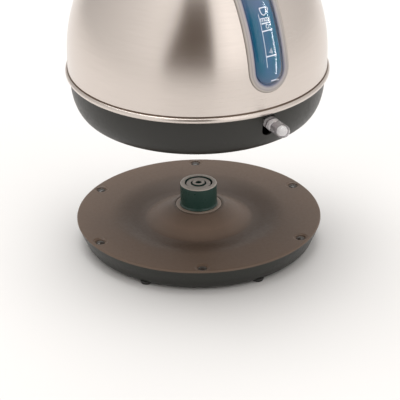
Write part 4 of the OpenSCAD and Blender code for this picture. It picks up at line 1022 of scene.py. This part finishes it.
# ------------------------------------------------------------------ floor, light
fl = bpy.data.meshes.new("floor"); s_ = 3.0
fl.from_pydata([(-s_, -s_, 0), (s_, -s_, 0), (s_, s_, 0), (-s_, s_, 0)], [], [(0, 1, 2, 3)])
floor = bpy.data.objects.new("floor", fl); SC.collection.objects.link(floor)
m, t, b = nt("mat_floor")
n_ = noise(t, coords(t), 3.0, 2.0, 0.5)
pale = mixc(t, maprange(t, n_, 0.3, 0.7, 0.0, 1.0), (0.800, 0.790, 0.781), (0.812, 0.802, 0.792))
t.links.new(pale, b.inputs["Base Color"])
b.inputs["Roughness"].default_value = 0.7; b.inputs["Specular IOR Level"].default_value = 0.2
fl.materials.append(m)
floor.location.z = -0.0002

world = bpy.data.worlds.new("studio"); SC.world = world; world.use_nodes = True
wt = world.node_tree; wt.nodes.clear()
wo = wt.nodes.new("ShaderNodeOutputWorld"); bg = wt.nodes.new("ShaderNodeBackground"); wt.links.new(bg.outputs[0], wo.inputs[0])
tc = wt.nodes.new("ShaderNodeTexCoord"); sp = wt.nodes.new("ShaderNodeSeparateXYZ"); wt.links.new(tc.outputs["Generated"], sp.inputs[0])
# studio tent: bright panels all round, with one soft dark gap between them
ca = math.radians(AZ)
cx_, cy_ = math.sin(ca), -math.cos(ca)
rx_, ry_ = math.cos(ca), math.sin(ca)
X_, Y_, Z_ = sp.outputs
fwd = math_(wt, "ADD", math_(wt, "MULTIPLY", X_, cx_), math_(wt, "MULTIPLY", Y_, cy_))
rgt = math_(wt, "ADD", math_(wt, "MULTIPLY", X_, rx_), math_(wt, "MULTIPLY", Y_, ry_))
rel = math_(wt, "MULTIPLY", math_(wt, "ARCTAN2", rgt, fwd), 180/math.pi)
pos = maprange(wt, rel, -180, 180, 0.0, 1.0)
def dg(v): return (v + 180)/360
def g3(v, w=1.0): return (v, v*(0.975 if w else 1), v*(0.95 if w else 1))
tent = ramp(wt, pos, [(dg(-180), g3(0.62)), (dg(-128), g3(0.55)), (dg(-100), g3(0.66)), (dg(-70), g3(0.78)), (dg(-42), g3(0.92)), (dg(-24), g3(0.90)), (dg(0), g3(0.80)), (dg(17), g3(1.02)), (dg(30), g3(1.30)), (dg(44), g3(1.22)), (dg(62), g3(0.92)), (dg(85), g3(0.76)), (dg(118), g3(0.66)), (dg(180), g3(0.62))])
left_edge = maprange(wt, Z_, 0.0, 0.62, -31.0, -17.0)
in_left = maprange(wt, math_(wt, "SUBTRACT", rel, left_edge), -5.0, 6.0, 0.0, 1.0, True)
in_right = maprange(wt, rel, 12.0, 18.0, 1.0, 0.0, True)
gap = math_(wt, "MULTIPLY", in_left, in_right)
gap = math_(wt, "MULTIPLY", gap, maprange(wt, Z_, 0.95, 0.80, 0.0, 1.0, True))
side = mixc(wt, gap, tent, (0.078, 0.052, 0.034))
topf = maprange(wt, Z_, 0.70, 0.95, 0.0, 1.0, True)
col = mixc(wt, topf, side, (1.0, 0.985, 0.965))
wt.links.new(col, bg.inputs[0]); bg.inputs[1].default_value = 1.08

def area(name, az, el, dist, size, power, target=(0, 0, 0.15), color=(1, 1, 1)):
    d = bpy.data.lights.new(name, "AREA"); d.shape = "RECTANGLE"; d.size, d.size_y = size; d.energy = power; d.color = color
    o = bpy.data.objects.new(name, d); SC.collection.objects.link(o)
    o.location = Vector(target) + back_dir(az, el)*dist
    o.rotation_mode = "QUATERNION"; o.rotation_quaternion = (Vector(target) - o.location).to_track_quat("-Z", "Y")
    return o
area("top", AZ + 200, 74, 1.7, (1.5, 1.3), 20)
# a thin bright strip that only the lens of the window catches
def lens_ray(y, z, slope):
    """World point on the lens and the direction its reflection of the picture's side looks in."""
    p = on_dome(y, z, 2.7)
    tilt = math.asin(max(0.0, (z - ARC_Z)/DOME_R)); az = math.atan2(y, 96.0) + math.radians(slope)
    n = Vector((math.cos(az)*math.cos(tilt), math.sin(az)*math.cos(tilt), math.sin(tilt)))
    v = back_dir(AZ, EL)
    return p, (2*n.dot(v)*n - v).normalized()
p1, r1 = lens_ray(3.7, 57, 4.2); p2, r2 = lens_ray(3.1, 124, 3.6)
q1 = p1 + r1*0.40; q2 = p2 + r2*0.46
q1.z = max(q1.z, 0.012)
mid_, ax = (q1 + q2)/2, (q2 - q1)
d = bpy.data.lights.new("lens_strip", "AREA"); d.shape = "RECTANGLE"; d.size, d.size_y = 0.020, ax.length; d.energy = STRIP*0.020*ax.length*math.pi
strip = bpy.data.objects.new("lens_strip", d); SC.collection.objects.link(strip)
fz = -((p1 + p2)/2 - mid_).normalized(); fy = ax.normalized(); fx = fy.cross(fz).normalized(); fz = fx.cross(fy)
strip.matrix_world = Matrix(((fx.x, fy.x, fz.x, mid_.x), (fx.y, fy.y, fz.y, mid_.y), (fx.z, fy.z, fz.z, mid_.z), (0, 0, 0, 1)))
only = bpy.data.collections.new("lens_only"); only.objects.link(bpy.data.objects["gauge_lens_clear"])
strip.light_linking.receiver_collection = only
strip.visible_camera = False

SC.view_settings.view_transform = "Standard"
SC.view_settings.look = "None"
SC.view_settings.exposure = 0.0
